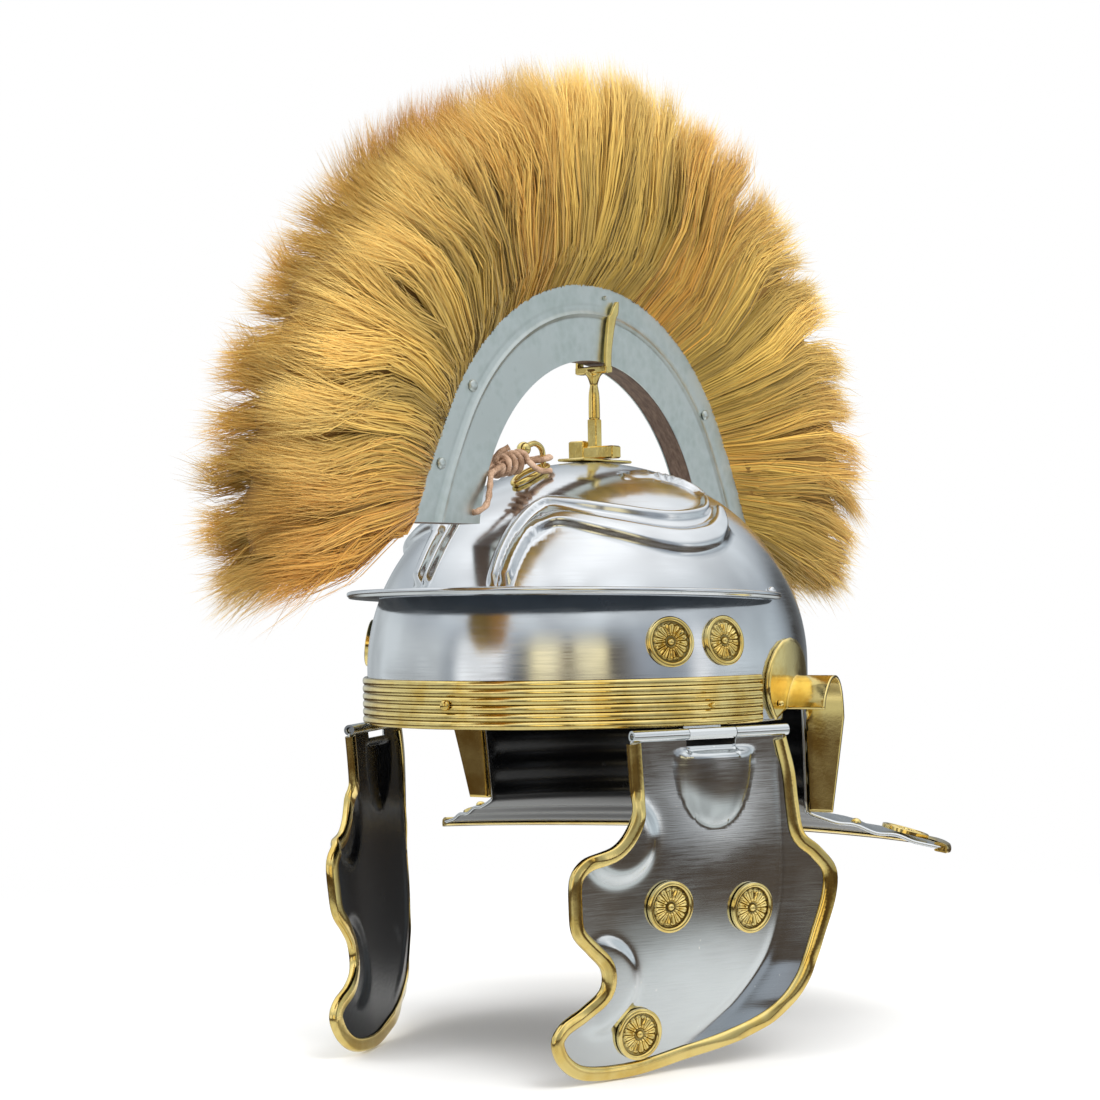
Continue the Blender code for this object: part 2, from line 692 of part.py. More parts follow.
def tube_between(start, end, outer, inner=0.0, sides=10):
    """Straight rod, or a tube with a bore, between two places on the hinge line."""
    first, last = hinge_place(start, 0.0, 0.0), hinge_place(end, 0.0, 0.0)
    length = float(np.linalg.norm(last - first))
    axis = (last - first) / length
    if inner == 0.0:
        return turned([(0.0, 0.0), (outer, 0.0), (outer, length), (0.0, length)], sides, first, axis)
    ring = [(inner, 0.0), (outer, 0.0), (outer, length), (inner, length)]
    points, faces = turned([(0.0, 0.0)] + ring + [(0.0, length)], sides, first, axis)
    index = np.arange(4 * sides).reshape(4, sides)
    return points[:-2], [face for face in faces if len(face) == 4] + lattice(index[[3, 0]], closed=True)


def arch_points(share, depth, x):
    """Place in the crest's arch: share -1 is the front foot and 1 the back one, depth 0 its inside."""
    share, depth = np.broadcast_arrays(np.asarray(share, dtype=float), depth)
    flare = ARCH_FLARE * np.clip((np.abs(share) - 0.72) / 0.28, 0.0, 1.0) ** 2 * depth
    radius = ARCH_INNER + (ARCH_OUTER - ARCH_INNER) * depth + flare
    foot = np.arccos((ARCH_FOOT - ARCH_HEIGHT) / radius)
    angle = share * foot
    return np.stack([np.full_like(radius, x), radius * np.sin(angle),
                     ARCH_HEIGHT + radius * np.cos(angle)], axis=-1)


def arch_slab(x_from, x_to, depth_from, depth_to, bead=0.0):
    """Slab of the crest's arch between two faces; a bead makes a low ridge along the outer face."""
    shares = np.linspace(-1.0, 1.0, 23)
    outer_face = [(0.0, 0.0)]
    if bead:
        outer_face += [(0.56, 0.0), (0.60, bead), (0.64, 0.0)]
    outer_face += [(1.0, 0.0)]
    ring = [(x_from, depth_from), (x_from, depth_to)]
    ring += [(x_to + rise, depth_from + (depth_to - depth_from) * d) for d, rise in outer_face[::-1]]
    return loft(np.stack([arch_points(shares, depth, x) for x, depth in ring], axis=1))


def plume():
    """Fan of fur: locks side by side on a thick fan whose root lies in the top of the crest box."""
    columns = PLUME_LOCKS * 3
    share = np.linspace(-1.0, 1.0, columns)
    rows = np.array(PLUME_ROWS)
    reach = PLUME_REACH * np.interp(share, rows[:, 0], rows[:, 1])
    full = PLUME_HALF_WIDTH * np.interp(share, rows[:, 0], rows[:, 2])
    lock = np.cos(2.0 * math.pi * np.arange(columns) / 3.0)
    lay = np.sin(7.0 * share) * 0.35
    root_depth = 1.0 - 0.0022 / (ARCH_OUTER - ARCH_INNER)
    root = arch_points(share * 0.992, root_depth, 0.0)
    mouth = arch_points(share * 0.992, 1.0, 0.0)
    foot = math.acos((ARCH_FOOT - ARCH_HEIGHT) / ARCH_OUTER)
    angle = share * foot * PLUME_SPREAD
    centre = np.array([0.0, 0.0, ARCH_HEIGHT])
    ray = np.stack([np.zeros(columns), np.sin(angle), np.cos(angle)], axis=-1)
    tip = centre + ray * (ARCH_OUTER + reach * (1.0 + 0.035 * lock))[:, None]
    inner_half = CREST_CORE / 2 - GAP
    profile = [(0.0, 0.0, 0.0), (0.03, 0.25, 0.0), (0.35, 0.72, 0.10), (0.7, 0.98, 0.13),
               (0.93, 0.80, 0.16), (1.0, 0.25, 0.1)]
    left, right = [root + np.array([inner_half, 0.0, 0.0])], [root - np.array([inner_half, 0.0, 0.0])]
    for along, width, groove in profile:
        middle = mouth + (tip - mouth) * along
        half = inner_half + (full - inner_half) * width
        for flank, sign in ((left, 1.0), (right, -1.0)):
            ripple = 1.0 + groove * (lock * math.cos(lay[0]) + 0.35 * sign * lay)
            flank.append(middle + np.stack([sign * half * ripple] + [np.zeros(columns)] * 2, axis=-1))
    return loft(np.stack(left + right[::-1], axis=1))


def holder_parts():
    """Crest holder: a key foot, a stem and a fork whose two prongs clasp the crest box."""
    top = ARCH_HEIGHT + math.sqrt(ARCH_INNER**2 - (HOLDER_BACK + 0.003) ** 2)
    foot = CROWN_HEIGHT + GAP + HOLDER_SHEET + GAP
    rise = top - foot
    half, key = 0.004, KEY_LENGTH / 2
    prong_in = CREST_CORE / 2 + CREST_SHEET + 3 * GAP
    bar = box((-key, -half, foot), (key, half, foot + 0.0062))
    block = box((-key, -half - 0.0006, foot), (-0.3 * key, half + 0.0006, foot + 0.0092))
    square = box((-STEM_RADIUS, -STEM_RADIUS, foot + 0.003), (STEM_RADIUS, STEM_RADIUS, foot + 0.43 * rise))
    neck = turned([(0.0, foot + 0.42 * rise), (STEM_RADIUS, foot + 0.42 * rise),
                   (STEM_RADIUS, foot + 0.70 * rise), (0.74 * STEM_RADIUS, foot + 0.78 * rise),
                   (1.63 * STEM_RADIUS, top - 0.002), (0.0, top - 0.002)], 12)
    cross = box((-prong_in - PRONG, -0.003, top - 0.0048), (prong_in + PRONG, 0.003, top - 4 * GAP))
    prongs = []
    for sign in (1.0, -1.0):
        sections = []
        for height, back, half_width in ((top - 0.0044, 0.0, 0.0029), (top + 0.012, 0.0015, 0.0032),
                                         (FORK_TOP - 0.006, 0.0064, 0.0031), (FORK_TOP, 0.0088, 0.0014)):
            x0, x1 = sign * prong_in, sign * (prong_in + PRONG)
            sections.append([(x0, back - half_width, height), (x1, back - half_width, height),
                             (x1, back + half_width, height), (x0, back + half_width, height)])
        prongs.append(loft(sections))
    set_back = np.array([0.0, HOLDER_BACK, 0.0])
    return [(points + set_back, faces) for points, faces in [bar, block, square, neck, cross] + prongs]


def swept(path, radius, sides=8, closed=False):
    """Round rod along a path of points."""
    path = np.asarray(path, dtype=float)
    along = np.gradient(path, axis=0)
    along /= np.linalg.norm(along, axis=1, keepdims=True)
    side = np.cross(along, (0.93, 0.11, 0.35))
    side /= np.linalg.norm(side, axis=1, keepdims=True)
    up = np.cross(along, side)
    angles = np.linspace(0.0, 2.0 * math.pi, sides, endpoint=False)
    ring = np.cos(angles)[:, None] * side[:, None] + np.sin(angles)[:, None] * up[:, None]
    return loft(path[:, None] + radius * ring, closed)


def hook_parts():
    """Front hook: an oval foot on the bowl, a bent neck and a ball end that points forwards."""
    y = HOOK_Y
    ground = bowl_height_at(0.0, y)
    neck = spline([(0.0, y, ground + 0.0005), (0.0, y, ground + 0.006), (0.0, y - 0.0015, ground + 0.0105),
                   (0.0, y - 0.007, ground + 0.0125), (0.0, y - 0.0145, ground + 0.0104)], 2)
    ball_at = (0.0, y - 0.0155, ground + 0.0095)
    r = HOOK_BALL
    ball = turned([(0.0, -r), (0.85 * r, -0.5 * r), (0.85 * r, 0.5 * r), (0.0, r)], 8, ball_at)
    turn = np.linspace(0.0, 2.0 * math.pi, 12, endpoint=False)
    across, along = 0.0046 * np.sin(turn), y - 0.0105 - 0.0125 * np.cos(turn)
    height = bowl_height_at(across, along) + HOOK_WIRE + GAP
    foot = swept_ring(np.stack([across, along, height], axis=-1), HOOK_WIRE)
    return [foot, swept(neck, HOOK_WIRE), ball]


def swept_ring(path, radius, sides=6):
    """Round rod along a closed path."""
    before, after = np.roll(path, 1, axis=0), np.roll(path, -1, axis=0)
    along = after - before
    along /= np.linalg.norm(along, axis=1, keepdims=True)
    side = np.cross(along, (0.0, 0.0, 1.0))
    side /= np.linalg.norm(side, axis=1, keepdims=True)
    up = np.cross(along, side)
    angles = np.linspace(0.0, 2.0 * math.pi, sides, endpoint=False)
    ring = np.cos(angles)[:, None] * side[:, None] + np.sin(angles)[:, None] * up[:, None]
    return loft(path[:, None] + radius * ring, closed=True)


def bowl_height_at(x, y):
    """Height of the bowl's top above a place in plan."""
    share = 1.0 - (np.asarray(x) / HALF_WIDTH) ** 2 - (np.asarray(y) / HALF_LENGTH) ** 2
    return WALL_HEIGHT + (CROWN_HEIGHT - WALL_HEIGHT) * np.sqrt(share)


def lace_route():
    """Route of the lace: a loose end, turns about the two strands, the crest's hole, the hook and back."""
    y = HOOK_Y
    level = float(bowl_height_at(0.0, y))
    hole_y, hole_z = lace_hole()
    start, end = np.array([0.0, y - 0.0190, level + 0.0035]), np.array([0.0, y - 0.0385, level + 0.0005])
    turns = np.linspace(0.0, LACE_WRAP_TURNS, LACE_WRAP_TURNS * 6 + 1)
    angle = 2.0 * math.pi * turns
    wrap = start + (end - start) * (turns / LACE_WRAP_TURNS)[:, None]
    wrap = wrap + LACE_WRAP_RADIUS * np.stack([np.cos(angle), 0.0 * angle, np.sin(angle)], axis=-1)
    lying = start[1] + 0.0095
    loose_start = [(0.0115, lying, float(bowl_height_at(0.0115, lying)) + 0.0026),
                   (0.0088, start[1] + 0.004, level - 0.0010)]
    face = CREST_CORE / 2 + CREST_SHEET
    to_hole = [(0.0072, hole_y + 0.013, level - 0.0035), (face + 0.0046, hole_y + 0.0050, hole_z + 0.0050),
               (face + 0.0028, hole_y + 0.0008, hole_z + 0.0008), (0.7 * face, hole_y, hole_z),
               (-0.7 * face, hole_y, hole_z), (-face - 0.0028, hole_y + 0.0008, hole_z + 0.0008),
               (-face - 0.0040, hole_y + 0.0050, hole_z + 0.0055),
               (-0.0060, hole_y + 0.0115, hole_z + 0.0115)]
    strand = 0.0016
    far = [(end[1] + 0.002, level + 0.0006), (start[1], level + 0.0035)]
    near = [(0.0036, y - 0.010, level + 0.0040), (0.0042, y - 0.001, level + 0.0056)]
    around = [(-strand, *place) for place in far] + [(-x, *place) for x, *place in near]
    around += [(0.0, y + 0.0044, level + 0.0064)]
    around += near[::-1] + [(strand, *place) for place in far[::-1]]
    loose_end = [(0.0020, end[1] - 0.0025, level + 0.0025), (0.0045, end[1] - 0.0030, level + 0.0062),
                 (0.0085, end[1], level + 0.0090)]
    return spline(np.concatenate([loose_start, wrap]), 1), to_hole, around, loose_end


def lace_hole():
    """Place of the hole for the lace in the crest's front foot."""
    spot = arch_points(-0.965, 0.12, 0.0)
    return float(spot[1]), float(spot[2])


def build_bowl(frame):
    """Bowl with its neck guard, brow band, brow guard, ear guards and their rivets and rosettes."""
    thicken(add_piece("bowl", bowl_surface(), "steel", frame, closed=False), SHEET)
    add_piece("neck_edging", neck_channel(), "brass", frame)
    add_piece("brow_band", band(), "brass", frame)
    add_piece("brow_guard", peak(), "steel", frame)
    off_band = 2 * GAP + BAND_THICKNESS + BAND_REED_RAISE
    middle = BAND_HEIGHT / 2
    add_piece("band_rivet_front", rivet(*on_bowl(0.0, middle, off_band)), "brass", frame)
    for name, side in (("left", 1), ("right", -1)):
        band_rivet = rivet(*on_bowl(BAND_RIVET_AZIMUTH, middle, off_band))
        add_piece(f"band_rivet_{name}", band_rivet, "brass", frame, side=side)
        for place, azimuth in zip(("front", "back"), ROSETTE_AZIMUTHS):
            boss = rosette(*on_bowl(azimuth, ROSETTE_LEVEL, -GAP))
            add_piece(f"bowl_rosette_{name}_{place}", boss, "brass", frame, side=side)
        guard = outward_faces(ear_guard(), (1.0, 0.0, 0.0))
        thicken(add_piece(f"ear_guard_{name}", guard, "brass", frame, closed=False, side=side), EAR_SHEET)
        ear_off = EAR_SHEET + 3 * GAP
        ear_rivet = rivet(*on_bowl(EAR_RIVET_AZIMUTH, EAR_RIVET_LEVEL, ear_off))
        add_piece(f"ear_rivet_{name}", ear_rivet, "brass", frame, side=side)
        above_end = GUARD_HEIGHT - GUARD_DROOP + GUARD_PLATE / 2 + RIVET_RADIUS + 2 * GAP
        brow_rivet = rivet(*on_bowl(GUARD_END - 1.0, above_end))
        add_piece(f"brow_rivet_{name}", brow_rivet, "steel", frame, side=side)
        neck_rosette = rosette(*on_neck_guard(*NECK_ROSETTE, ROSETTE_RADIUS))
        add_piece(f"neck_rosette_{name}", neck_rosette, "brass", frame, side=side)
        neck_rivet = rivet(*on_neck_guard(*NECK_RIVET, RIVET_RADIUS))
        add_piece(f"neck_rivet_{name}", neck_rivet, "brass", frame, side=side)


def on_neck_guard(share, reach, radius):
    """Seat on the neck guard's left wing, at a share of its edge and of the way out to it."""
    columns = np.linspace(0.0, 1.0, 241)
    rows = neck_guard_points(nape_line(len(columns)), np.linspace(0.0, 1.0, 61)[:, None])
    spot = rows[round(60 * reach), round(240 * share)]
    wing = rows.reshape(-1, 3)
    near = wing[np.linalg.norm(wing[:, :2] - spot[:2], axis=1) < radius]
    centre = near.mean(axis=0)
    normal = np.linalg.svd(near - centre)[2][2]
    normal *= np.sign(normal[2])
    level = centre[2] - (spot[:2] - centre[:2]) @ normal[:2] / normal[2]
    lift = ((near - centre) @ normal).max() + GAP
    return np.array([spot[0], spot[1], level]) + lift * normal, normal


def on_cheek(forward, down):
    """Seat of a rosette on the left cheek guard, square to its face and clear of it all round."""
    turn = np.linspace(0.0, 2.0 * math.pi, 12, endpoint=False)
    du, dv = ROSETTE_RADIUS * np.cos(turn), ROSETTE_RADIUS * np.sin(turn)
    ring = cheek_relief(forward + du, down + dv)
    slope_u, slope_v = (ring @ du) / (du @ du), (ring @ dv) / (dv @ dv)
    middle = float(cheek_relief(np.array(forward), np.array(down)))
    lift = max(0.0, float((ring - middle - slope_u * du - slope_v * dv).max()))
    start = cheek_place(forward, middle, -down)
    axis = cheek_place(forward - slope_u, middle + 1.0, -down + slope_v) - start
    axis /= np.linalg.norm(axis)
    return start + axis * (lift + CHEEK_SHEET / 2 + 2 * GAP), axis


def build_cheek(frame, name, side):
    """One cheek guard on its hinge, with the hinge's fixed leaf and pin."""
    middle = (side * HINGE_SIDE, -HINGE_AHEAD, -HINGE_DROP)
    hinge = make_empty(f"cheek_{name}_hinge", middle, frame)
    plate = add_piece(f"cheek_plate_{name}", outward_faces(cheek_plate(), (1.0, -0.4, 0.0)), "steel", hinge,
                      closed=False, side=side)
    thicken(plate, CHEEK_SHEET)
    bore = PIN_RADIUS + GAP
    spans = (("front", LEAF_HALF_WIDTH + GAP, KNUCKLE_SPAN), ("back", -KNUCKLE_SPAN, -LEAF_HALF_WIDTH - GAP))
    for place, start, end in spans:
        tube = tube_between(start, end, KNUCKLE_RADIUS, bore)
        combine(plate, add_piece(f"knuckle_{name}_{place}", tube, "steel", hinge, side=side), "UNION")
    add_piece(f"cheek_edging_{name}", cheek_channel(), "brass", hinge, side=side)
    for place, row in zip(("front", "back", "lower"), CHEEK_ROSETTES):
        boss = rosette(*on_cheek(row.forward * CHEEK_WIDTH, row.down * CHEEK_HEIGHT))
        add_piece(f"cheek_rosette_{name}_{place}", boss, "brass", hinge, side=side)

    leaf = add_piece(f"hinge_leaf_{name}", tube_between(-LEAF_HALF_WIDTH, LEAF_HALF_WIDTH, KNUCKLE_RADIUS),
                     "steel", frame, side=side)
    reach = KNUCKLE_SPAN - 0.002
    pin = tube_between(-reach, reach, PIN_RADIUS, sides=8)
    half = LEAF_HALF_WIDTH - GAP
    back, low, high = -2.6 * KNUCKLE_RADIUS, 0.46 * KNUCKLE_RADIUS, 0.88 * KNUCKLE_RADIUS
    near, far = back + LEAF_SHEET / 2, back - LEAF_SHEET / 2
    tab_section = ((back, low), (back, high), (0.0, high), (0.0, low))
    upright_section = ((near, low - GAP), (near, LEAF_HEIGHT), (far, LEAF_HEIGHT), (far, low - GAP))
    tab = [[hinge_place(u, out, up) for out, up in tab_section] for u in (-half, half)]
    upright = [[hinge_place(u, out, up) for out, up in upright_section] for u in (-0.8 * half, 0.8 * half)]
    for piece, shape in (("pin", pin), ("tab", loft(tab)), ("upright", loft(upright))):
        combine(leaf, add_piece(f"{piece}_{name}", shape, "steel", frame, side=side), "UNION")


def build_crest(frame):
    """Crest holder, crest box and plume."""
    low, near, far = CROWN_HEIGHT + GAP, HOLDER_BACK - HOLDER_LENGTH / 2, HOLDER_BACK + HOLDER_LENGTH / 2
    base = box((-HOLDER_WIDTH / 2, near, low), (HOLDER_WIDTH / 2, far, low + HOLDER_SHEET))
    add_piece("crest_base", base, "brass", frame, smooth=False)
    parts = holder_parts()
    fork = add_piece("crest_fork", parts[0], "brass", frame)
    for number, part in enumerate(parts[1:]):
        combine(fork, add_piece(f"holder_part_{number}", part, "brass", frame), "UNION")
    half = CREST_CORE / 2
    hole_y, hole_z = lace_hole()
    drill = turned([(0.0, -0.02), (LACE_HOLE_RADIUS, -0.02), (LACE_HOLE_RADIUS, 0.02), (0.0, 0.02)], 10,
                   (0.0, hole_y, hole_z), (1.0, 0.0, 0.0))
    cutter = add_piece("lace_drill", drill, "steel", frame)
    core_top = 1.0 - 0.003 / (ARCH_OUTER - ARCH_INNER)
    core = add_piece("crest_core", arch_slab(-half, half, 0.0, core_top), "wood", frame)
    combine(core, cutter, "DIFFERENCE")
    for name, side in (("left", 1), ("right", -1)):
        slab = arch_slab(half + GAP, half + CREST_SHEET, 0.0, 1.0, bead=0.0007)
        plate = add_piece(f"crest_side_{name}", slab, "galvanised", frame, side=side)
        combine(plate, cutter, "DIFFERENCE")
        for number, share in enumerate((-0.86, -0.62, 0.035, 0.64)):
            seat = arch_points(share, 0.80, half + CREST_SHEET + GAP)
            add_piece(f"crest_rivet_{name}_{number}", rivet(seat, (1.0, 0.0, 0.0), 0.0026, 0.0014),
                      "galvanised", frame, side=side)
    add_piece("plume", plume(), "fur", frame)


def build_lace(frame):
    """Front hook and the lace that ties the crest to it."""
    parts = hook_parts()
    hook = add_piece("front_hook", parts[1], "brass", frame)
    for number, part in enumerate((parts[0], parts[2])):
        combine(hook, add_piece(f"hook_part_{number}", part, "brass", frame), "UNION")
    wrap, to_hole, around, loose_end = lace_route()
    path = np.concatenate([wrap, spline(to_hole, 2), spline(around, 2), spline(loose_end, 1)])
    curve = bpy.data.curves.new("lace", "CURVE")
    curve.dimensions = "3D"
    curve.bevel_depth = LACE_DIAMETER / 2
    curve.bevel_resolution = 2
    curve.use_fill_caps = True
    line = curve.splines.new("POLY")
    line.points.add(len(path) - 1)
    line.points.foreach_set("co", np.concatenate([path, np.ones((len(path), 1))], axis=1).ravel())
    curve.materials.append(MATERIALS["leather"])
    lace = bpy.data.objects.new("lace", curve)
    lace.parent = frame
    bpy.context.collection.objects.link(lace)


clear_scene()
MATERIALS = {name: make_material(name) for name in FINISHES}
helmet_frame = make_empty("helmet_frame", SEAT)
build_bowl(helmet_frame)
build_cheek(helmet_frame, "left", 1)
build_cheek(helmet_frame, "right", -1)
build_crest(helmet_frame)
build_lace(helmet_frame)
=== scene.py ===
"""Roman legionary helmet with a fur crest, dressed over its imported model.

Lengths are metres. Shapes are worked out with height zero at the bottom edge of the brow band, as in the
part's source, and put() lowers them into the model's frame. +X is the wearer's left, -Y the front and +Z up.
"""

import logging
import math
from dataclasses import dataclass, field
from enum import Enum

import bpy
import numpy as np
from mathutils import Matrix, Vector


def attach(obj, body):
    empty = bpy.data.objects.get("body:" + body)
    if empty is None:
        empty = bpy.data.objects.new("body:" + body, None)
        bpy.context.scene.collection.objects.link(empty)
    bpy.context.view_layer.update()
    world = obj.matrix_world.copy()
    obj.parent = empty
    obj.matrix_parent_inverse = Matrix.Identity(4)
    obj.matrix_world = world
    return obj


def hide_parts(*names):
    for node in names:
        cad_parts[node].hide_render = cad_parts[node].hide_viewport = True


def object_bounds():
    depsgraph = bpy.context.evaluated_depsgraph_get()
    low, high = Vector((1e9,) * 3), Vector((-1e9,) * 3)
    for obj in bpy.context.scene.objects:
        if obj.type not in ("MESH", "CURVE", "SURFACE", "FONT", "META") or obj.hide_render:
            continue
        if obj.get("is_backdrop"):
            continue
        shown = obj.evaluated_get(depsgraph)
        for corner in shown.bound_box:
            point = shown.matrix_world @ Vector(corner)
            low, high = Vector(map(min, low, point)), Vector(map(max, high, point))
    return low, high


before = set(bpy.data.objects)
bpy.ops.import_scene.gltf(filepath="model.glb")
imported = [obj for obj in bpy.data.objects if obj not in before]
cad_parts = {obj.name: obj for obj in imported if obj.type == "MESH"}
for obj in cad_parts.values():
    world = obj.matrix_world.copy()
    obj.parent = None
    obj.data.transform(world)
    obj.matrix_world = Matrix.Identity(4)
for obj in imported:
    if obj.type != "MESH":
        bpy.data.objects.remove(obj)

Array = np.ndarray
LOG = logging.getLogger("helmet")

# Height of the model's origin, the inside of the crown, above the bottom edge of the brow band
SEAT_HEIGHT = 0.1235
GAP = 0.0003


class Side(Enum):
    """The wearer's left or right; the value is the sign of X."""

    LEFT = 1
    RIGHT = -1

    @property
    def label(self) -> str:
        """Word used in the names of pieces."""
        return self.name.lower()


class Body(Enum):
    """Moving bodies of the model."""

    HELMET = "helmet"
    LEFT_CHEEK = "cheek_left"
    RIGHT_CHEEK = "cheek_right"


def linear(code: str) -> tuple[float, float, float, float]:
    """Linear colour of an sRGB hex value.

    Args:
        code: six hex digits, with or without a leading #.

    Returns:
        Red, green, blue and an alpha of one.
    """
    digits = code.lstrip("#")
    channels = np.array([int(digits[i:i + 2], 16) for i in (0, 2, 4)]) / 255.0
    low, high = channels / 12.92, ((channels + 0.055) / 1.055) ** 2.4
    red, green, blue = np.where(channels <= 0.04045, low, high)
    return float(red), float(green), float(blue), 1.0


def add_node(tree: bpy.types.NodeTree, kind: str, settings: dict | None = None,
             links: dict | None = None) -> bpy.types.Node:
    """Add a node with its settings and links.

    Args:
        tree: node tree that gets the node.
        kind: Blender's name of the node type.
        settings: attribute names, or input names or numbers, with their values.
        links: input names or numbers with the output sockets that feed them.

    Returns:
        The new node.
    """
    node = tree.nodes.new(kind)
    for key, value in (settings or {}).items():
        if isinstance(key, str) and hasattr(node, key):
            setattr(node, key, value)
        else:
            node.inputs[key].default_value = value
    for key, source in (links or {}).items():
        tree.links.new(source, node.inputs[key])
    return node


def set_ramp(node: bpy.types.Node, stops: tuple | list) -> None:
    """Give a colour ramp its stops.

    Args:
        node: colour ramp node.
        stops: positions from 0 to 1 with sRGB hex colours.
    """
    elements = node.color_ramp.elements
    while len(elements) > 1:
        elements.remove(elements[-1])
    elements[0].position, elements[0].color = stops[0][0], linear(stops[0][1])
    for place, code in stops[1:]:
        elements.new(place).color = linear(code)


def add_ramp(tree: bpy.types.NodeTree, source: bpy.types.NodeSocket, stops: tuple | list) -> bpy.types.Node:
    """Add a colour ramp with its stops, fed by a socket."""
    ramp = add_node(tree, "ShaderNodeValToRGB", {}, {"Fac": source})
    set_ramp(ramp, stops)
    return ramp


def add_tones(tree: bpy.types.NodeTree, source: bpy.types.NodeSocket, first: str, second: str,
              between: tuple[float, float]) -> bpy.types.NodeSocket:
    """Colour that is the first one up to a value of a socket, and the second one from a higher value on."""
    stops = [(0.0, first), (between[0], first), (between[1], second), (1.0, second)]
    return add_ramp(tree, source, stops).outputs["Color"]


def add_noise(tree: bpy.types.NodeTree, spot: bpy.types.NodeSocket, scale: float, detail: float,
              roughness: float = 0.5) -> bpy.types.Node:
    """Add a noise texture on a coordinate socket."""
    return add_node(tree, "ShaderNodeTexNoise", {"Scale": scale, "Detail": detail, "Roughness": roughness},
                    {"Vector": spot})


def add_range(tree: bpy.types.NodeTree, source: bpy.types.NodeSocket, given: tuple[float, float],
              wanted: tuple[float, float], kind: str = "LINEAR") -> bpy.types.Node:
    """Add a node that maps a range of a socket's value to another range."""
    settings = {"interpolation_type": kind, "From Min": given[0], "From Max": given[1], "To Min": wanted[0],
                "To Max": wanted[1]}
    return add_node(tree, "ShaderNodeMapRange", settings, {"Value": source})


def add_bump(tree: bpy.types.NodeTree, height: bpy.types.NodeSocket, strength: float, distance: float,
             normal: bpy.types.NodeSocket | None = None) -> bpy.types.Node:
    """Add a bump of a strength and a height in metres, on top of another one where there is one."""
    links = {"Height": height} if normal is None else {"Height": height, "Normal": normal}
    return add_node(tree, "ShaderNodeBump", {"Strength": strength, "Distance": distance}, links)


@dataclass(frozen=True)
class Finish:
    """Base of the finishes: a Principled shader with its own sockets set and a pattern on object coordinates."""

    name: str
    colour: str
    roughness: float

    def start(self) -> tuple[bpy.types.Material, bpy.types.NodeTree, bpy.types.Node, bpy.types.NodeSocket]:
        """New material with its tree, its Principled shader and its object coordinates."""
        material = bpy.data.materials.new(self.name)
        material.use_nodes = True
        tree = material.node_tree
        shader = tree.nodes["Principled BSDF"]
        shader.inputs["Base Color"].default_value = linear(self.colour)
        shader.inputs["Roughness"].default_value = self.roughness
        return material, tree, shader, add_node(tree, "ShaderNodeTexCoord").outputs["Object"]

    def make(self) -> bpy.types.Material:
        """Material of this finish."""
        return self.start()[0]


@dataclass(frozen=True)
class PolishedSteel(Finish):
    """Mild steel sheet, buffed to a mirror: long wheel marks, soft unevenness and a few specks of rust and dust."""

    mark_spacing_mm: float = 0.8
    specks: str = "#8C8880"
    speck_share: float = 0.16

    def make(self) -> bpy.types.Material:
        """Material with buffing marks in its roughness and bump, and specks in its colour."""
        material, tree, shader, spot = self.start()
        shader.inputs["Metallic"].default_value = 1.0
        scale = 1000.0 / self.mark_spacing_mm
        spin = add_node(tree, "ShaderNodeMapping", {"Scale": (0.035, 0.035, 1.0)}, {"Vector": spot})
        marks = add_noise(tree, spin.outputs["Vector"], scale, 4.0, 0.6)
        cloud = add_noise(tree, spot, 28.0, 2.0)
        blend = add_node(tree, "ShaderNodeMath", {"operation": "MULTIPLY"},
                         {0: marks.outputs["Fac"], 1: cloud.outputs["Fac"]})
        gloss = add_range(tree, blend.outputs["Value"], (0.12, 0.42), (self.roughness * 0.65, self.roughness * 1.7))
        tree.links.new(gloss.outputs["Result"], shader.inputs["Roughness"])
        dust = add_noise(tree, spot, 520.0, 1.0)
        tones = add_tones(tree, dust.outputs["Fac"], self.specks, self.colour,
                          (self.speck_share, self.speck_share + 0.03))
        tree.links.new(tones, shader.inputs["Base Color"])
        dent = add_noise(tree, spot, 46.0, 1.5)
        broad = add_bump(tree, dent.outputs["Fac"], 0.05, 0.002)
        fine = add_bump(tree, marks.outputs["Fac"], 0.035, 0.0003, broad.outputs["Normal"])
        tree.links.new(fine.outputs["Normal"], shader.inputs["Normal"])
        return material


@dataclass(frozen=True)
class Brass(Finish):
    """Polished brass, pressed or cast: bright on its high places, with painted shade darkening its hollows."""

    # Dark brown painted into the hollows as shade
    hollow_shade_colour: str = "#3B2B0E"
    warm_colour: str = "#E0C06C"
    grain_mm: float = 1.6
    bump: float = 0.05
    has_hollow_shade: bool = False

    def make(self) -> bpy.types.Material:
        """Material with uneven tarnish, and with painted shade in the hollows where the mesh carries them."""
        material, tree, shader, spot = self.start()
        shader.inputs["Metallic"].default_value = 1.0
        stain = add_noise(tree, spot, 60.0, 4.0, 0.6)
        colour = add_tones(tree, stain.outputs["Fac"], self.warm_colour, self.colour, (0.36, 0.56))
        # Painted shade in the hollows, weighted by the mesh's attribute
        if self.has_hollow_shade:
            depth = add_node(tree, "ShaderNodeAttribute", {"attribute_name": "hollow"})
            mix = add_node(tree, "ShaderNodeMix", {"data_type": "RGBA"}, {0: depth.outputs["Fac"], 6: colour})
            mix.inputs[7].default_value = linear(self.hollow_shade_colour)
            colour = mix.outputs[2]
        tree.links.new(colour, shader.inputs["Base Color"])
        grain = add_noise(tree, spot, 1000.0 / self.grain_mm, 3.0)
        gloss = add_range(tree, stain.outputs["Fac"], (0.3, 0.7), (self.roughness * 0.7, self.roughness * 1.5))
        tree.links.new(gloss.outputs["Result"], shader.inputs["Roughness"])
        relief = add_bump(tree, grain.outputs["Fac"], self.bump, 0.0006)
        tree.links.new(relief.outputs["Normal"], shader.inputs["Normal"])
        return material


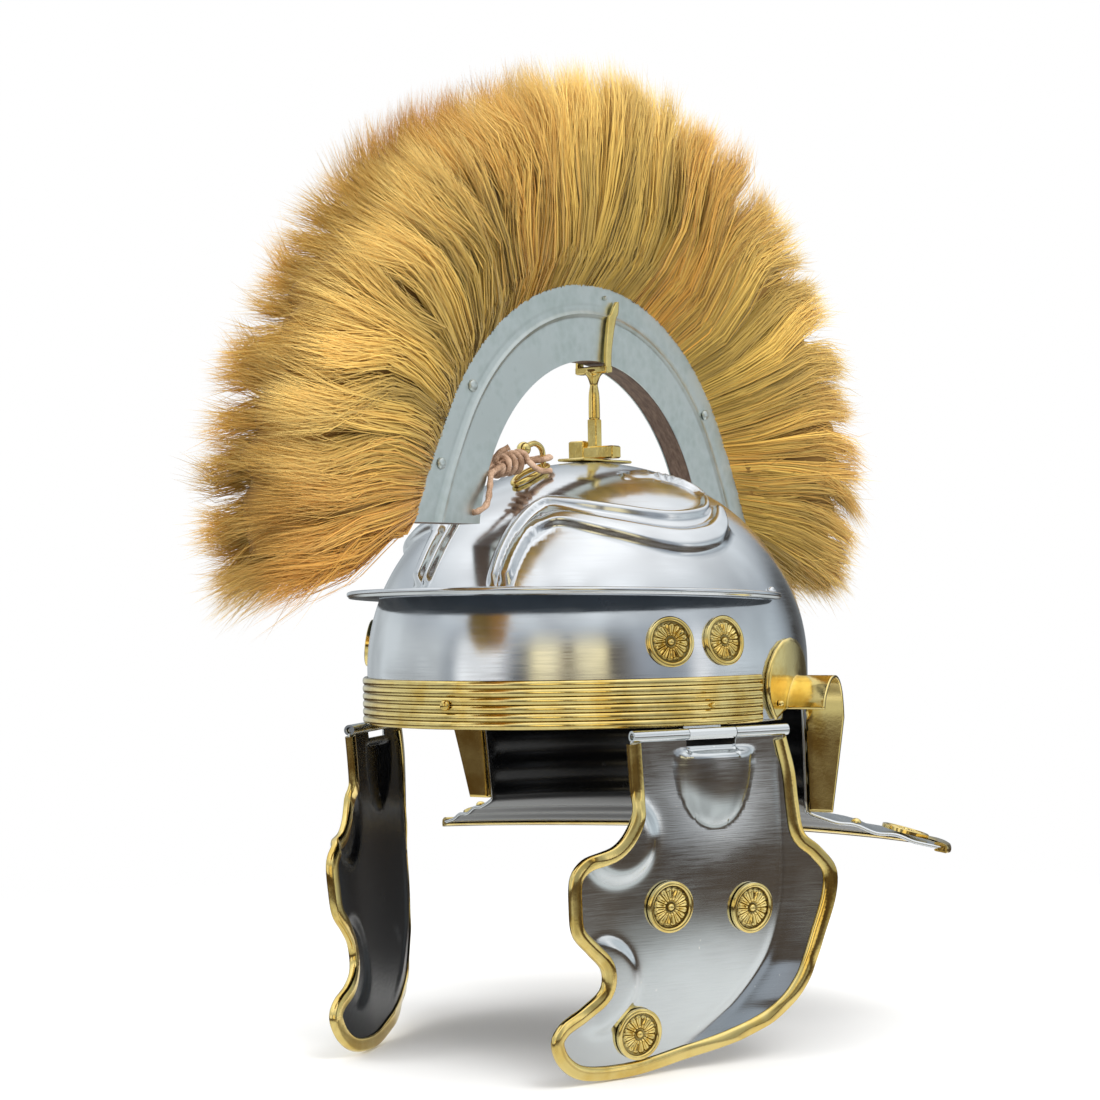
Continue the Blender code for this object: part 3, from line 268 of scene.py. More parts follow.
@dataclass(frozen=True)
class Galvanised(Finish):
    """Zinc-coated steel sheet: dull, cool, with faint spangle a few millimetres wide and long rolling smears."""

    pale: str = "#DCE3E0"
    spangle_mm: float = 5.0

    def make(self) -> bpy.types.Material:
        """Material with spangle in its colour and smears in its roughness."""
        material, tree, shader, spot = self.start()
        shader.inputs["Metallic"].default_value = 1.0
        crystals = add_node(tree, "ShaderNodeTexVoronoi", {"Scale": 1000.0 / self.spangle_mm},
                            {"Vector": spot})
        smear = add_noise(tree, spot, 34.0, 5.0, 0.65)
        mixed = add_node(tree, "ShaderNodeMath", {"operation": "MULTIPLY_ADD", 1: 0.18},
                         {0: crystals.outputs["Distance"], 2: smear.outputs["Fac"]})
        tones = add_tones(tree, mixed.outputs["Value"], self.colour, self.pale, (0.42, 0.66))
        tree.links.new(tones, shader.inputs["Base Color"])
        gloss = add_range(tree, smear.outputs["Fac"], (0.3, 0.75), (self.roughness * 0.8, self.roughness * 1.35))
        tree.links.new(gloss.outputs["Result"], shader.inputs["Roughness"])
        relief = add_bump(tree, smear.outputs["Fac"], 0.06, 0.001)
        tree.links.new(relief.outputs["Normal"], shader.inputs["Normal"])
        return material


@dataclass(frozen=True)
class Paint(Finish):
    """Black semi-gloss paint, brushed on: slight orange peel and a few thin, dusty patches."""

    dust: str = "#4A4D50"
    peel_mm: float = 2.2

    def make(self) -> bpy.types.Material:
        """Material with orange peel in its bump and dust in its colour."""
        material, tree, shader, spot = self.start()
        shader.inputs["Specular IOR Level"].default_value = 0.4
        patch = add_noise(tree, spot, 45.0, 5.0, 0.7)
        tones = add_tones(tree, patch.outputs["Fac"], self.colour, self.dust, (0.62, 0.8))
        tree.links.new(tones, shader.inputs["Base Color"])
        peel = add_noise(tree, spot, 1000.0 / self.peel_mm, 2.0)
        relief = add_bump(tree, peel.outputs["Fac"], 0.12, 0.0005)
        tree.links.new(relief.outputs["Normal"], shader.inputs["Normal"])
        return material


@dataclass(frozen=True)
class Wood(Finish):
    """Stained softwood: fine dark grain along the cut, with paler streaks."""

    dark: str = "#33271F"
    pale: str = "#8A7362"
    grain_mm: float = 1.5

    def make(self) -> bpy.types.Material:
        """Material with stretched grain in its colour and bump."""
        material, tree, shader, spot = self.start()
        along = add_node(tree, "ShaderNodeMapping", {"Scale": (1.0, 0.12, 0.35)},
                         {"Vector": spot})
        grain = add_noise(tree, along.outputs["Vector"], 1000.0 / self.grain_mm, 5.0, 0.7)
        ramp = add_ramp(tree, grain.outputs["Fac"], [(0.0, self.dark), (0.38, self.colour), (0.7, self.pale),
                                                     (1.0, self.pale)])
        tree.links.new(ramp.outputs["Color"], shader.inputs["Base Color"])
        relief = add_bump(tree, grain.outputs["Fac"], 0.4, 0.0006)
        tree.links.new(relief.outputs["Normal"], shader.inputs["Normal"])
        return material


@dataclass(frozen=True)
class Leather(Finish):
    """Undyed round leather lace: matt, fine fibres along it and grey handling marks."""

    dark: str = "#8F6F55"
    worn: str = "#DCC0A6"
    fibre_mm: float = 0.6

    def make(self) -> bpy.types.Material:
        """Material with fibres in its colour and bump."""
        material, tree, shader, spot = self.start()
        fibres = add_noise(tree, spot, 1000.0 / self.fibre_mm, 4.0)
        marks = add_noise(tree, spot, 110.0, 3.0)
        mixed = add_node(tree, "ShaderNodeMath", {"operation": "MULTIPLY_ADD", 1: 0.5},
                         {0: fibres.outputs["Fac"], 2: marks.outputs["Fac"]})
        ramp = add_ramp(tree, mixed.outputs["Value"], [(0.0, self.dark), (0.62, self.dark), (0.82, self.colour),
                                                       (1.0, self.worn)])
        tree.links.new(ramp.outputs["Color"], shader.inputs["Base Color"])
        relief = add_bump(tree, fibres.outputs["Fac"], 0.5, 0.0004)
        tree.links.new(relief.outputs["Normal"], shader.inputs["Normal"])
        return material


@dataclass(frozen=True)
class Fur(Finish):
    """Dyed animal hair: golden, darker at the root and pale at the tip, with strands of several shades."""

    stops: tuple[tuple[float, str], ...] = ((0.0, "#A4873C"), (0.3, "#CEAB52"), (0.65, "#DDB860"),
                                            (1.0, "#E8CA7C"))
    patch: str = "#D0933A"

    def make(self) -> bpy.types.Material:
        """Material that reads how far along a hair a point is, the hair's tone with its painted shade, and its patch.
        """
        material, tree, shader, _ = self.start()
        shader.inputs["Sheen Weight"].default_value = 0.15
        shader.inputs["Sheen Roughness"].default_value = 0.4
        shader.inputs["Specular IOR Level"].default_value = 0.35
        along = add_node(tree, "ShaderNodeAttribute", {"attribute_name": "along"})
        shade = add_node(tree, "ShaderNodeAttribute", {"attribute_name": "shade"})
        orange = add_node(tree, "ShaderNodeAttribute", {"attribute_name": "patch"})
        ramp = add_ramp(tree, along.outputs["Fac"], self.stops)
        warm = add_node(tree, "ShaderNodeMix", {"data_type": "RGBA"},
                        {0: orange.outputs["Fac"], 6: ramp.outputs["Color"]})
        warm.inputs[7].default_value = linear(self.patch)
        tone = add_node(tree, "ShaderNodeHueSaturation", {},
                        {"Value": shade.outputs["Fac"], "Color": warm.outputs[2]})
        tree.links.new(tone.outputs["Color"], shader.inputs["Base Color"])
        return material


@dataclass
class Shape:
    """Points and faces of a mesh, with values that belong to its points.

    Args:
        points: rows of x, y and z in metres, heights above the brow band's lower edge.
        faces: arrays of three or four corner numbers a row.
        values: name of an attribute and its value at each point.
        slots: material slot of each face, or None for slot 0.
    """

    points: Array
    faces: list[Array]
    values: dict[str, Array] = field(default_factory=dict)
    slots: Array | None = None

    def volume(self) -> float:
        """Signed volume: a sixth of the sum of corner triple products over a fan of each face."""
        total = 0.0
        for rows in self.faces:
            corners = self.points[rows]
            for k in range(1, rows.shape[1] - 1):
                total += np.einsum("ij,ij->i", corners[:, 0], np.cross(corners[:, k], corners[:, k + 1])).sum()
        return float(total / 6.0)

    def outward(self) -> "Shape":
        """The closed shape with its faces turned to point out."""
        if self.volume() < 0.0:
            self.faces = [rows[:, ::-1] for rows in self.faces]
        return self

    def towards(self, direction: tuple[float, float, float] | Array) -> "Shape":
        """The open shape with its faces turned so that their summed normal points along a direction."""
        corners = self.points[self.faces[0]]
        normals = np.cross(corners[:, 1] - corners[:, 0], corners[:, 2] - corners[:, 0])
        if float((normals * direction).sum()) < 0.0:
            self.faces = [rows[:, ::-1] for rows in self.faces]
        return self

    def mirrored(self, side: Side) -> "Shape":
        """The shape on the wearer's left or mirrored to the right."""
        if side is Side.LEFT:
            return self
        points = self.points * np.array([-1.0, 1.0, 1.0])
        return Shape(points, [rows[:, ::-1] for rows in self.faces], self.values, self.slots)


def joined(shapes: list[Shape]) -> Shape:
    """One shape out of several, their face numbers moved up by the points before them."""
    starts = np.cumsum([0] + [len(shape.points) for shape in shapes[:-1]])
    faces = [rows + start for shape, start in zip(shapes, starts) for rows in shape.faces]
    names = set.intersection(*[set(shape.values) for shape in shapes])
    values = {name: np.concatenate([shape.values[name] for shape in shapes]) for name in names}
    return Shape(np.concatenate([shape.points for shape in shapes]), faces, values)


def quads(index: Array, wrap: bool = False) -> Array:
    """Quads between the neighbours of a table of point numbers.

    Args:
        index: table of point numbers.
        wrap: whether the last column joins the first.

    Returns:
        Rows of four corner numbers.
    """
    if wrap:
        index = np.concatenate([index, index[:, :1]], axis=1)
    corners = (index[:-1, :-1], index[1:, :-1], index[1:, 1:], index[:-1, 1:])
    return np.stack(corners, axis=-1).reshape(-1, 4)


def skin(points: Array, wrap: bool = False) -> Shape:
    """Open surface through a table of points, rows by columns."""
    index = np.arange(points[..., 0].size).reshape(points.shape[:2])
    return Shape(points.reshape(-1, 3), [quads(index, wrap)])


def loft(sections: Array, closed: bool = False) -> Shape:
    """Closed skin through equal rings; the ends are fans round the middle of each end ring.

    Args:
        sections: rings by points of a ring by x, y, z.
        closed: whether the last ring joins the first, so that there are no ends.
    """
    count, ring = sections.shape[:2]
    index = np.arange(count * ring).reshape(count, ring)
    points = sections.reshape(-1, 3)
    if closed:
        return Shape(points, [quads(np.concatenate([index, index[:1]]), True)]).outward()
    middles = sections[[0, -1]].mean(axis=1)
    ends = np.concatenate([fan(index[0], len(points)), fan(index[-1], len(points) + 1)[:, ::-1]])
    return Shape(np.concatenate([points, middles]), [quads(index, True), ends]).outward()


def spline(rows: Array | list, samples: int) -> Array:
    """Catmull-Rom curve through rows of numbers, with a count of samples in each span."""
    rows = np.asarray(rows, dtype=float)
    padded = np.concatenate([2 * rows[:1] - rows[1:2], rows, 2 * rows[-1:] - rows[-2:-1]])
    spans = np.arange(len(rows) - 1)
    p0, p1, p2, p3 = (padded[spans + k][:, None, :] for k in range(4))
    t = np.linspace(0.0, 1.0, samples, endpoint=False)[None, :, None]
    curve = 0.5 * (2 * p1 + (p2 - p0) * t + (2 * p0 - 5 * p1 + 4 * p2 - p3) * t**2
                   + (3 * p1 - p0 - 3 * p2 + p3) * t**3)
    return np.concatenate([curve.reshape(-1, rows.shape[1]), rows[-1:]])


def even_path(path: Array, count: int) -> Array:
    """Points at equal distances along a path, worked out from its running length."""
    travel = np.concatenate([[0.0], np.linalg.norm(np.diff(path, axis=0), axis=1).cumsum()])
    stops = np.linspace(0.0, travel[-1], count)
    return np.stack([np.interp(stops, travel, path[:, k]) for k in range(path.shape[1])], axis=-1)


def circle(count: int) -> Array:
    """Evenly spaced angles once round."""
    return np.linspace(0.0, 2.0 * math.pi, count, endpoint=False)


def fan(ring: Array, pole: int) -> Array:
    """Triangles from a pole to each pair of neighbours in a closed ring of point numbers."""
    return np.stack([np.full(len(ring), pole), ring, np.roll(ring, -1)], axis=-1)


def smooth(share: Array) -> Array:
    """Smooth step of a share between 0 and 1: three squares less two cubes."""
    return share * share * (3.0 - 2.0 * share)


def unit(vectors: Array) -> Array:
    """Vectors divided by their lengths."""
    return vectors / np.maximum(np.linalg.norm(vectors, axis=-1, keepdims=True), 1e-12)


def tube(path: Array, radius: float | Array, sides: int = 12, closed: bool = False,
         squash: float = 0.0, twist: float = 0.0) -> Shape:
    """Round rod along a path, its rings carried along it by a fixed reference direction.

    Args:
        path: points along the middle.
        radius: radius, or one for each point.
        sides: corners of a ring.
        closed: whether the path is a loop.
        squash: share by which the ring is oval.
        twist: turns of the oval along the whole path.
    """
    ahead, behind = np.roll(path, -1, axis=0), np.roll(path, 1, axis=0)
    along = unit(ahead - behind if closed else np.gradient(path, axis=0))
    side = unit(np.cross(along, (0.31, 0.17, 0.94) if closed else (0.93, 0.11, 0.35)))
    up = np.cross(along, side)
    angles = circle(sides)
    turn = np.linspace(0.0, 2.0 * math.pi * twist, len(path))[:, None]
    radii = np.broadcast_to(np.asarray(radius, dtype=float), (len(path),))[:, None]
    radii = radii * (1.0 + squash * np.cos(2.0 * (angles[None] - turn)))
    rings = path[:, None] + radii[..., None] * (np.cos(angles)[None, :, None] * side[:, None]
                                                + np.sin(angles)[None, :, None] * up[:, None])
    return loft(rings, closed)


def frame_of(axis: Array) -> Array:
    """Three unit vectors as columns, the last of them along an axis."""
    along = unit(np.asarray(axis, dtype=float))
    first = unit(np.cross(along, (0.0, 1.0, 0.0) if abs(along[1]) < 0.9 else (1.0, 0.0, 0.0)))
    return np.stack([first, np.cross(along, first), along], axis=-1)


def dome(origin: Array, axis: Array, radii: Array, heights: Array, sides: int,
         wave: Array | None = None) -> Shape:
    """Turned relief on a round foot: rings of a polar grid with a pole at the top and one below.

    Args:
        origin: middle of the foot.
        axis: direction in which the relief rises.
        radii: radius of each ring, from the foot's rim inwards.
        heights: height of each ring.
        sides: points of a ring.
        wave: change of height, rings by points, or None.
    """
    angles = circle(sides)
    rise = np.repeat(heights[:, None], sides, axis=1) + (0.0 if wave is None else wave)
    local = np.stack([radii[:, None] * np.cos(angles), radii[:, None] * np.sin(angles), rise], axis=-1)
    poles = np.array([(0.0, 0.0, heights[0]), (0.0, 0.0, float(rise[-1].mean()))])
    points = np.concatenate([local.reshape(-1, 3), poles]) @ frame_of(axis).T + origin
    index = np.arange(len(radii) * sides).reshape(len(radii), sides)
    ends = np.concatenate([fan(index[0], index.size), fan(index[-1], index.size + 1)[:, ::-1]])
    return Shape(points, [quads(index, True), ends]).outward()


def block(low: tuple[float, float, float], high: tuple[float, float, float], chamfer: float = 0.0006) -> Shape:
    """Box with chamfered edges, as four rings that step in at both ends."""
    (x0, y0, z0), (x1, y1, z1) = low, high
    c = chamfer
    rings = []
    for height, shrink in ((z0, c), (z0 + c, 0.0), (z1 - c, 0.0), (z1, c)):
        a0, a1, b0, b1 = x0 + shrink, x1 - shrink, y0 + shrink, y1 - shrink
        rings.append([(a0 + c, b0, height), (a1 - c, b0, height), (a1, b0 + c, height), (a1, b1 - c, height),
                      (a1 - c, b1, height), (a0 + c, b1, height), (a0, b1 - c, height), (a0, b0 + c, height)])
    return loft(np.array(rings))


def ripple(points: Array, seed: int, size: float, terms: int = 10) -> Array:
    """Smooth noise between about -1 and 1: a sum of sine waves in random directions.

    Args:
        points: rows of coordinates.
        seed: seed of the directions and phases.
        size: length of the waves.
        terms: count of waves.
    """
    rng = np.random.default_rng(seed)
    waves = rng.normal(size=(points.shape[-1], terms)) * 2.0 * math.pi / size * 0.55
    phases = rng.uniform(0.0, 2.0 * math.pi, terms)
    return np.sin(points @ waves + phases).sum(axis=-1) / math.sqrt(terms / 2.0) * 0.7


def put(name: str, shape: Shape, materials: list[bpy.types.Material], body: Body,
        replaces: tuple[str, ...] = (), wall: float = 0.0, sharp: float | None = 40.0) -> bpy.types.Object:
    """Make a piece of a shape, lower it into the model's frame and let it ride on a body.

    Args:
        name: name of the piece.
        shape: its mesh.
        materials: its materials, by slot; with a wall, the second one is on the inside.
        body: body that it moves with.
        replaces: nodes that it stands for.
        wall: thickness given to an open surface on its inner side.
        sharp: angle in degrees from which an edge is sharp, or None for flat faces.

    Returns:
        The new object.
    """
    mesh = bpy.data.meshes.new(name)
    points = (shape.points - np.array([0.0, 0.0, SEAT_HEIGHT])).astype(np.float32)
    corners = np.concatenate([rows.ravel() for rows in shape.faces]).astype(np.int32)
    sizes = np.concatenate([np.full(len(rows), rows.shape[1]) for rows in shape.faces])
    mesh.vertices.add(len(points))
    mesh.vertices.foreach_set("co", points.ravel())
    mesh.loops.add(len(corners))
    mesh.loops.foreach_set("vertex_index", corners)
    mesh.polygons.add(len(sizes))
    mesh.polygons.foreach_set("loop_start", np.concatenate([[0], sizes.cumsum()[:-1]]).astype(np.int32))
    if shape.slots is not None:
        mesh.polygons.foreach_set("material_index", shape.slots.astype(np.int32))
    mesh.update(calc_edges=True)
    for key, value in shape.values.items():
        mesh.attributes.new(key, "FLOAT", "POINT").data.foreach_set("value", value.astype(np.float32).ravel())
    if sharp is not None:
        mesh.shade_smooth()
        mesh.set_sharp_from_angle(angle=math.radians(sharp))
    for material in materials:
        mesh.materials.append(material)
    piece = bpy.data.objects.new(name, mesh)
    bpy.context.scene.collection.objects.link(piece)
    if wall:
        solid = piece.modifiers.new("wall", "SOLIDIFY")
        solid.thickness = wall
        solid.offset = -1.0
        solid.use_quality_normals = True
        solid.material_offset = len(materials) - 1
    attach(piece, body.value)
    if replaces:
        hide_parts(*replaces)
    LOG.info("%s: %d points, %d faces", name, len(points), len(sizes))
    return piece


@dataclass(frozen=True)
class Seat:
    """Place of a turned boss of the model: the middle of its foot, its axis, its radius and its height."""

    middle: Array
    axis: Array
    radius: float
    height: float

    @classmethod
    def of(cls, node: str) -> "Seat":
        """Seat of a node, read from its corners.

        The axis is the direction in which the corners spread least, turned from the widest ring to the top.

        Args:
            node: name of a rosette or rivet.
        """
        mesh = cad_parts[node].data
        corners = np.empty(len(mesh.vertices) * 3, np.float32)
        mesh.vertices.foreach_get("co", corners)
        corners = np.unique(np.round(corners.reshape(-1, 3).astype(float), 6), axis=0)
        around = corners[np.linalg.norm(corners - corners.mean(axis=0), axis=1).argsort()]
        rim = around[len(around) // 3:]
        axis = np.linalg.svd(rim - rim.mean(axis=0))[2][2]
        level = (corners - rim.mean(axis=0)) @ axis
        if abs(level.max()) < abs(level.min()):
            axis, level = -axis, -level
        foot = corners[level < level.min() + 1e-4]
        flat = (foot - foot.mean(axis=0)) @ frame_of(axis)
        radius = float(np.linalg.norm(flat[:, :2], axis=1).max())
        middle = foot.mean(axis=0) + np.array([0.0, 0.0, SEAT_HEIGHT])
        return cls(middle, axis, radius, float(level.max() - level.min()))


@dataclass
class Skull:
    """Half ellipsoid on a short straight wall, the form that the bowl and all on it follow."""

    half_width: float = 0.1037
    half_length: float = 0.115
    crown: float = 0.125
    wall: float = 0.026

    def normal(self, points: Array) -> Array:
        """Outward direction: the ellipsoid's gradient, x over a squared, y over b squared, rise over c squared."""
        rise = np.maximum(points[..., 2] - self.wall, 0.0)
        return unit(np.stack([points[..., 0] / self.half_width**2, points[..., 1] / self.half_length**2,
                              rise / (self.crown - self.wall) ** 2], axis=-1))

    def point(self, azimuth: Array | float, height: Array | float, out: Array | float = 0.0) -> Array:
        """Point of the outer face, a (cos of lean) sin azimuth and so on, moved out along the normal.

        Args:
            azimuth: degrees from the front towards the wearer's left.
            height: height above the band's lower edge.
            out: distance from the face.
        """
        turn, height = np.broadcast_arrays(np.radians(azimuth), np.asarray(height, dtype=float))
        rise = np.clip((height - self.wall) / (self.crown - self.wall), 0.0, 1.0)
        share = np.sqrt(1.0 - rise**2)
        points = np.stack([self.half_width * share * np.sin(turn), -self.half_length * share * np.cos(turn),
                           height], axis=-1)
        return points + np.asarray(out)[..., None] * self.normal(points)

    def top(self, x: Array | float, y: Array | float) -> Array:
        """Height of the face above a place in plan."""
        share = 1.0 - (np.asarray(x) / self.half_width) ** 2 - (np.asarray(y) / self.half_length) ** 2
        return self.wall + (self.crown - self.wall) * np.sqrt(share)


@dataclass
class Bowl:
    """Steel bowl with its raised eyebrows, ribbed nape and neck guard, as one sheet; black paint inside."""

    skull: Skull
    steel: bpy.types.Material
    paint: bpy.types.Material
    sheet: float = 0.0015
    nape_drop: float = 0.046
    nape_ribs: int = 3
    nape_rib_raise: float = 0.0016
    neck_half_width: float = 0.1526
    neck_front: float = 0.076
    neck_back: float = 0.168
    neck_drop: float = 0.0175
    neck_corner: float = 1.25
    neck_ridge_raise: float = 0.0014
    lower_raise: float = 0.0036
    upper_raise: float = 0.0027
    lower_crisp: float = 0.62
    upper_crisp: float = 0.85
    wall_rows: int = 27
    nape_columns: int = 85
    guard_rows: int = 42

    # Azimuth, height and half width in millimetres of the two ribs of an eyebrow
    LOWER = ((15.4, 68.8, 4.2), (15.8, 75.0, 4.4), (18.0, 86.2, 4.8), (23.0, 92.5, 5.2), (30.0, 94.4, 5.6),
             (45.0, 90.0, 6.9), (65.0, 84.0, 8.8), (78.0, 85.6, 8.3), (86.0, 90.0, 6.9), (95.0, 98.0, 4.2))
    UPPER = ((11.6, 68.8, 3.4), (12.0, 80.0, 3.4), (13.8, 92.5, 3.5), (18.0, 101.0, 3.5), (25.0, 103.5, 3.7),
             (47.0, 99.2, 3.8), (67.0, 95.8, 3.8), (84.0, 98.0, 3.6), (94.0, 103.0, 3.4), (100.0, 108.5, 3.2),
             (97.0, 113.5, 3.0), (80.0, 116.5, 2.7), (60.0, 116.0, 2.3))
    # Azimuth and count of columns up to it, closest where the ribs stand upright
    COLUMNS = ((0.0, 0), (7.5, 6), (21.0, 44), (86.0, 102), (94.3, 115))
    # Share of the half length behind the middle, and of the nape drop, round the ear
    EAR = ((0.075, 0.0), (0.095, 0.22), (0.157, 0.41), (0.243, 0.43), (0.322, 0.26), (0.357, -0.11), (0.391, -1.0))

    def ear_path(self, samples: int) -> tuple[Array, Array]:
        """Azimuth and height along the cut-out over the ear."""
        rows = [(math.degrees(math.acos(-back)), rise * self.nape_drop) for back, rise in self.EAR]
        path = spline(rows, samples)
        return path[:, 0], path[:, 1]

    def rib(self, spots: Array, rows: tuple, raise_by: float, crisp: float) -> Array:
        """Height of a rib: raise times a smooth step of one less the distance to its line over its half width.

        The distance is taken in space, to the nearest place on the segments of the line.

        Args:
            spots: points of the plain bowl, folded to the wearer's left.
            rows: azimuth, height and half width of the rib's line.
            raise_by: height of the rib.
            crisp: share of the half width over which the flank rises.
        """
        path = spline(rows, 7)
        line = self.skull.point(path[:, 0], path[:, 1] / 1000.0).astype(np.float32)
        start, run = line[:-1], np.diff(line, axis=0)
        away = spots.reshape(-1, 1, 3).astype(np.float32) - start
        t = np.clip((away * run).sum(axis=-1) / (run * run).sum(axis=-1), 0.0, 1.0)
        half = (path[:-1, 2] + np.diff(path[:, 2]) * t) / 1000.0
        distance = (np.linalg.norm(away - t[..., None] * run, axis=-1) / half).min(axis=-1)
        step = np.clip((1.0 - distance.reshape(spots.shape[:-1])) / crisp, 0.0, 1.0)
        return raise_by * smooth(step)

    def edge(self, share: Array) -> Array:
        """Edge of the neck guard: a rounded oblong, x a power of the cosine and y a power of the sine."""
        turn = math.pi * share
        across, back = np.cos(turn), np.sin(turn)
        x = self.neck_half_width * np.sign(across) * np.abs(across) ** self.neck_corner
        y = self.neck_front + (self.neck_back - self.neck_front) * np.abs(back) ** self.neck_corner
        return np.stack([x, y, -(self.nape_drop + self.neck_drop) - 0.003 * back], axis=-1)

    def nape_line(self, columns: int) -> Array:
        """Points where the bowl turns into the neck guard."""
        start = math.degrees(math.acos(-self.EAR[-1][0]))
        return self.skull.point(np.linspace(start, 360.0 - start, columns), -self.nape_drop)

    def guard_points(self, nape: Array, reaches: Array) -> Array:
        """Rows of the neck guard's upper face: the straight line from nape to edge, dropped by its reach
        to the power 0.8, with two low ridges."""
        edge = self.edge(np.linspace(0.0, 1.0, len(nape)))
        reach = np.asarray(reaches)[..., None]
        ridge = self.neck_ridge_raise * np.sin(2.0 * math.pi * np.clip((reach - 0.2) / 0.6, 0.0, 1.0)) ** 2
        plan = nape[:, :2] + reach * (edge - nape)[:, :2]
        height = nape[:, 2:] + (edge - nape)[:, 2:] * reach**0.8 + ridge
        return np.concatenate([plan, height], axis=-1)

    def cap_heights(self, folded: Array) -> Array:
        """Heights of the rows above the wall, spaced by lean and drawn close along both ribs of the eyebrow.

        Args:
            folded: azimuth of each column, folded to the wearer's left.
        """
        lower, upper = spline(self.LOWER[3:], 6), spline(self.UPPER[4:9], 6)
        low, high = np.clip(folded, 23.0, 92.0), np.clip(folded, 25.0, 92.0)
        slope = 1.37
        knots = [np.full(len(folded), 124.94), np.full(len(folded), 119.0)]
        for sign in (1.0, -1.0):
            knots.append(np.interp(high, upper[:, 0], upper[:, 1] + sign * upper[:, 2] / slope))
        for sign in (0.0, -1.0):
            knots.append(np.interp(low, lower[:, 0], lower[:, 1] + sign * lower[:, 2] / slope))
        knots += [np.full(len(folded), 65.5), np.full(len(folded), 1000.0 * self.skull.wall)]
        rise = (np.array(knots) / 1000.0 - self.skull.wall) / (self.skull.crown - self.skull.wall)
        lean = np.maximum.accumulate(np.arccos(np.clip(rise, 0.0, 1.0)), axis=0)
        counts = (9, 13, 10, 6, 11, 9, 12)
        rows = [lean[k] + (lean[k + 1] - lean[k]) * np.linspace(0.0, 1.0, count, endpoint=False)[:, None]
                for k, count in enumerate(counts)]
        lean = np.concatenate(rows + [lean[-1:]])
        return self.skull.wall + (self.skull.crown - self.skull.wall) * np.cos(lean)

    def surface(self) -> Shape:
        """Outer face: rows from the crown to the rim by columns round the bowl, then the neck guard's rows."""
        ear_azimuth, ear_height = self.ear_path(7)
        stops = np.array(self.COLUMNS)
        front = np.interp(np.arange(stops[-1, 1]), stops[:, 1], stops[:, 0])
        half = np.concatenate([front, ear_azimuth])
        nape = np.linspace(ear_azimuth[-1], 360.0 - ear_azimuth[-1], self.nape_columns)
        azimuths = np.concatenate([half, nape[1:-1], 360.0 - half[:0:-1]])
        folded = np.minimum(azimuths, 360.0 - azimuths)
        rim = np.interp(folded, np.concatenate([[0.0], ear_azimuth]), np.concatenate([[0.0], ear_height]))
        down = np.linspace(0.0, 1.0, self.wall_rows + 1)[1:]
        heights = np.concatenate([self.cap_heights(folded),
                                  self.skull.wall + down[:, None] * (rim - self.skull.wall)])
        spots = self.skull.point(np.broadcast_to(folded, heights.shape), heights)
        raised = np.maximum(self.rib(spots, self.LOWER, self.lower_raise, self.lower_crisp),
                            self.rib(spots, self.UPPER, self.upper_raise, self.upper_crisp))
        waves = np.sin(math.pi * self.nape_ribs * np.clip(-heights / self.nape_drop, 0.0, 1.0)) ** 2
        raised = raised + self.nape_rib_raise * waves * (folded > ear_azimuth[-1] + 1.0)
        points = self.skull.point(np.broadcast_to(azimuths, heights.shape), heights, raised)
        index = np.arange(heights.size).reshape(heights.shape)
        crown = heights.size
        first = len(half) - 1
        reaches = np.linspace(0.0, 1.0, self.guard_rows + 1)[1:, None]
        guard = self.guard_points(points[-1, first:first + len(nape)], reaches)
        guard_index = crown + 1 + np.arange(guard[..., 0].size).reshape(guard.shape[:2])
        faces = [quads(index, True), quads(np.concatenate([index[-1:, first:first + len(nape)], guard_index])),
                 fan(index[0], crown)]
        top = np.array([(0.0, 0.0, self.skull.crown)])
        return Shape(np.concatenate([points.reshape(-1, 3), top, guard.reshape(-1, 3)]), faces)

    def build(self) -> None:
        """Build the sheet; the brass edging of its neck guard is built by build_edging."""
        shape = self.surface()
        corners = shape.points[shape.faces[0]]
        normals = np.cross(corners[:, 1] - corners[:, 0], corners[:, 2] - corners[:, 0])
        away = corners.mean(axis=1) - np.array([0.0, 0.0, 0.03])
        if float((normals * away).sum()) < 0.0:
            shape.faces = [rows[:, ::-1] for rows in shape.faces]
        put("bowl_sheet", shape, [self.steel, self.paint], Body.HELMET, ("bowl",), wall=self.sheet, sharp=85.0)

    def build_edging(self, brass: bpy.types.Material, width: float = 0.0055, wall: float = 0.0008) -> None:
        """Build the folded brass edging round the neck guard.

        Args:
            brass: its material.
            width: how far it covers the guard.
            wall: thickness of its sheet.
        """
        nape = self.nape_line(161)
        edge = self.edge(np.linspace(0.0, 1.0, len(nape)))
        reach = np.linalg.norm(edge - nape, axis=1)
        sections = [self.guard_points(nape, (1.0 + (GAP - inward) / reach)[None])[0]
                    + np.array([0.0, 0.0, rise - self.sheet / 2])
                    for inward, rise in folded_section(self.sheet, width, wall)]
        put("neck_guard_edging", loft(np.stack(sections, axis=1)), [brass], Body.HELMET, ("neck_edging",))


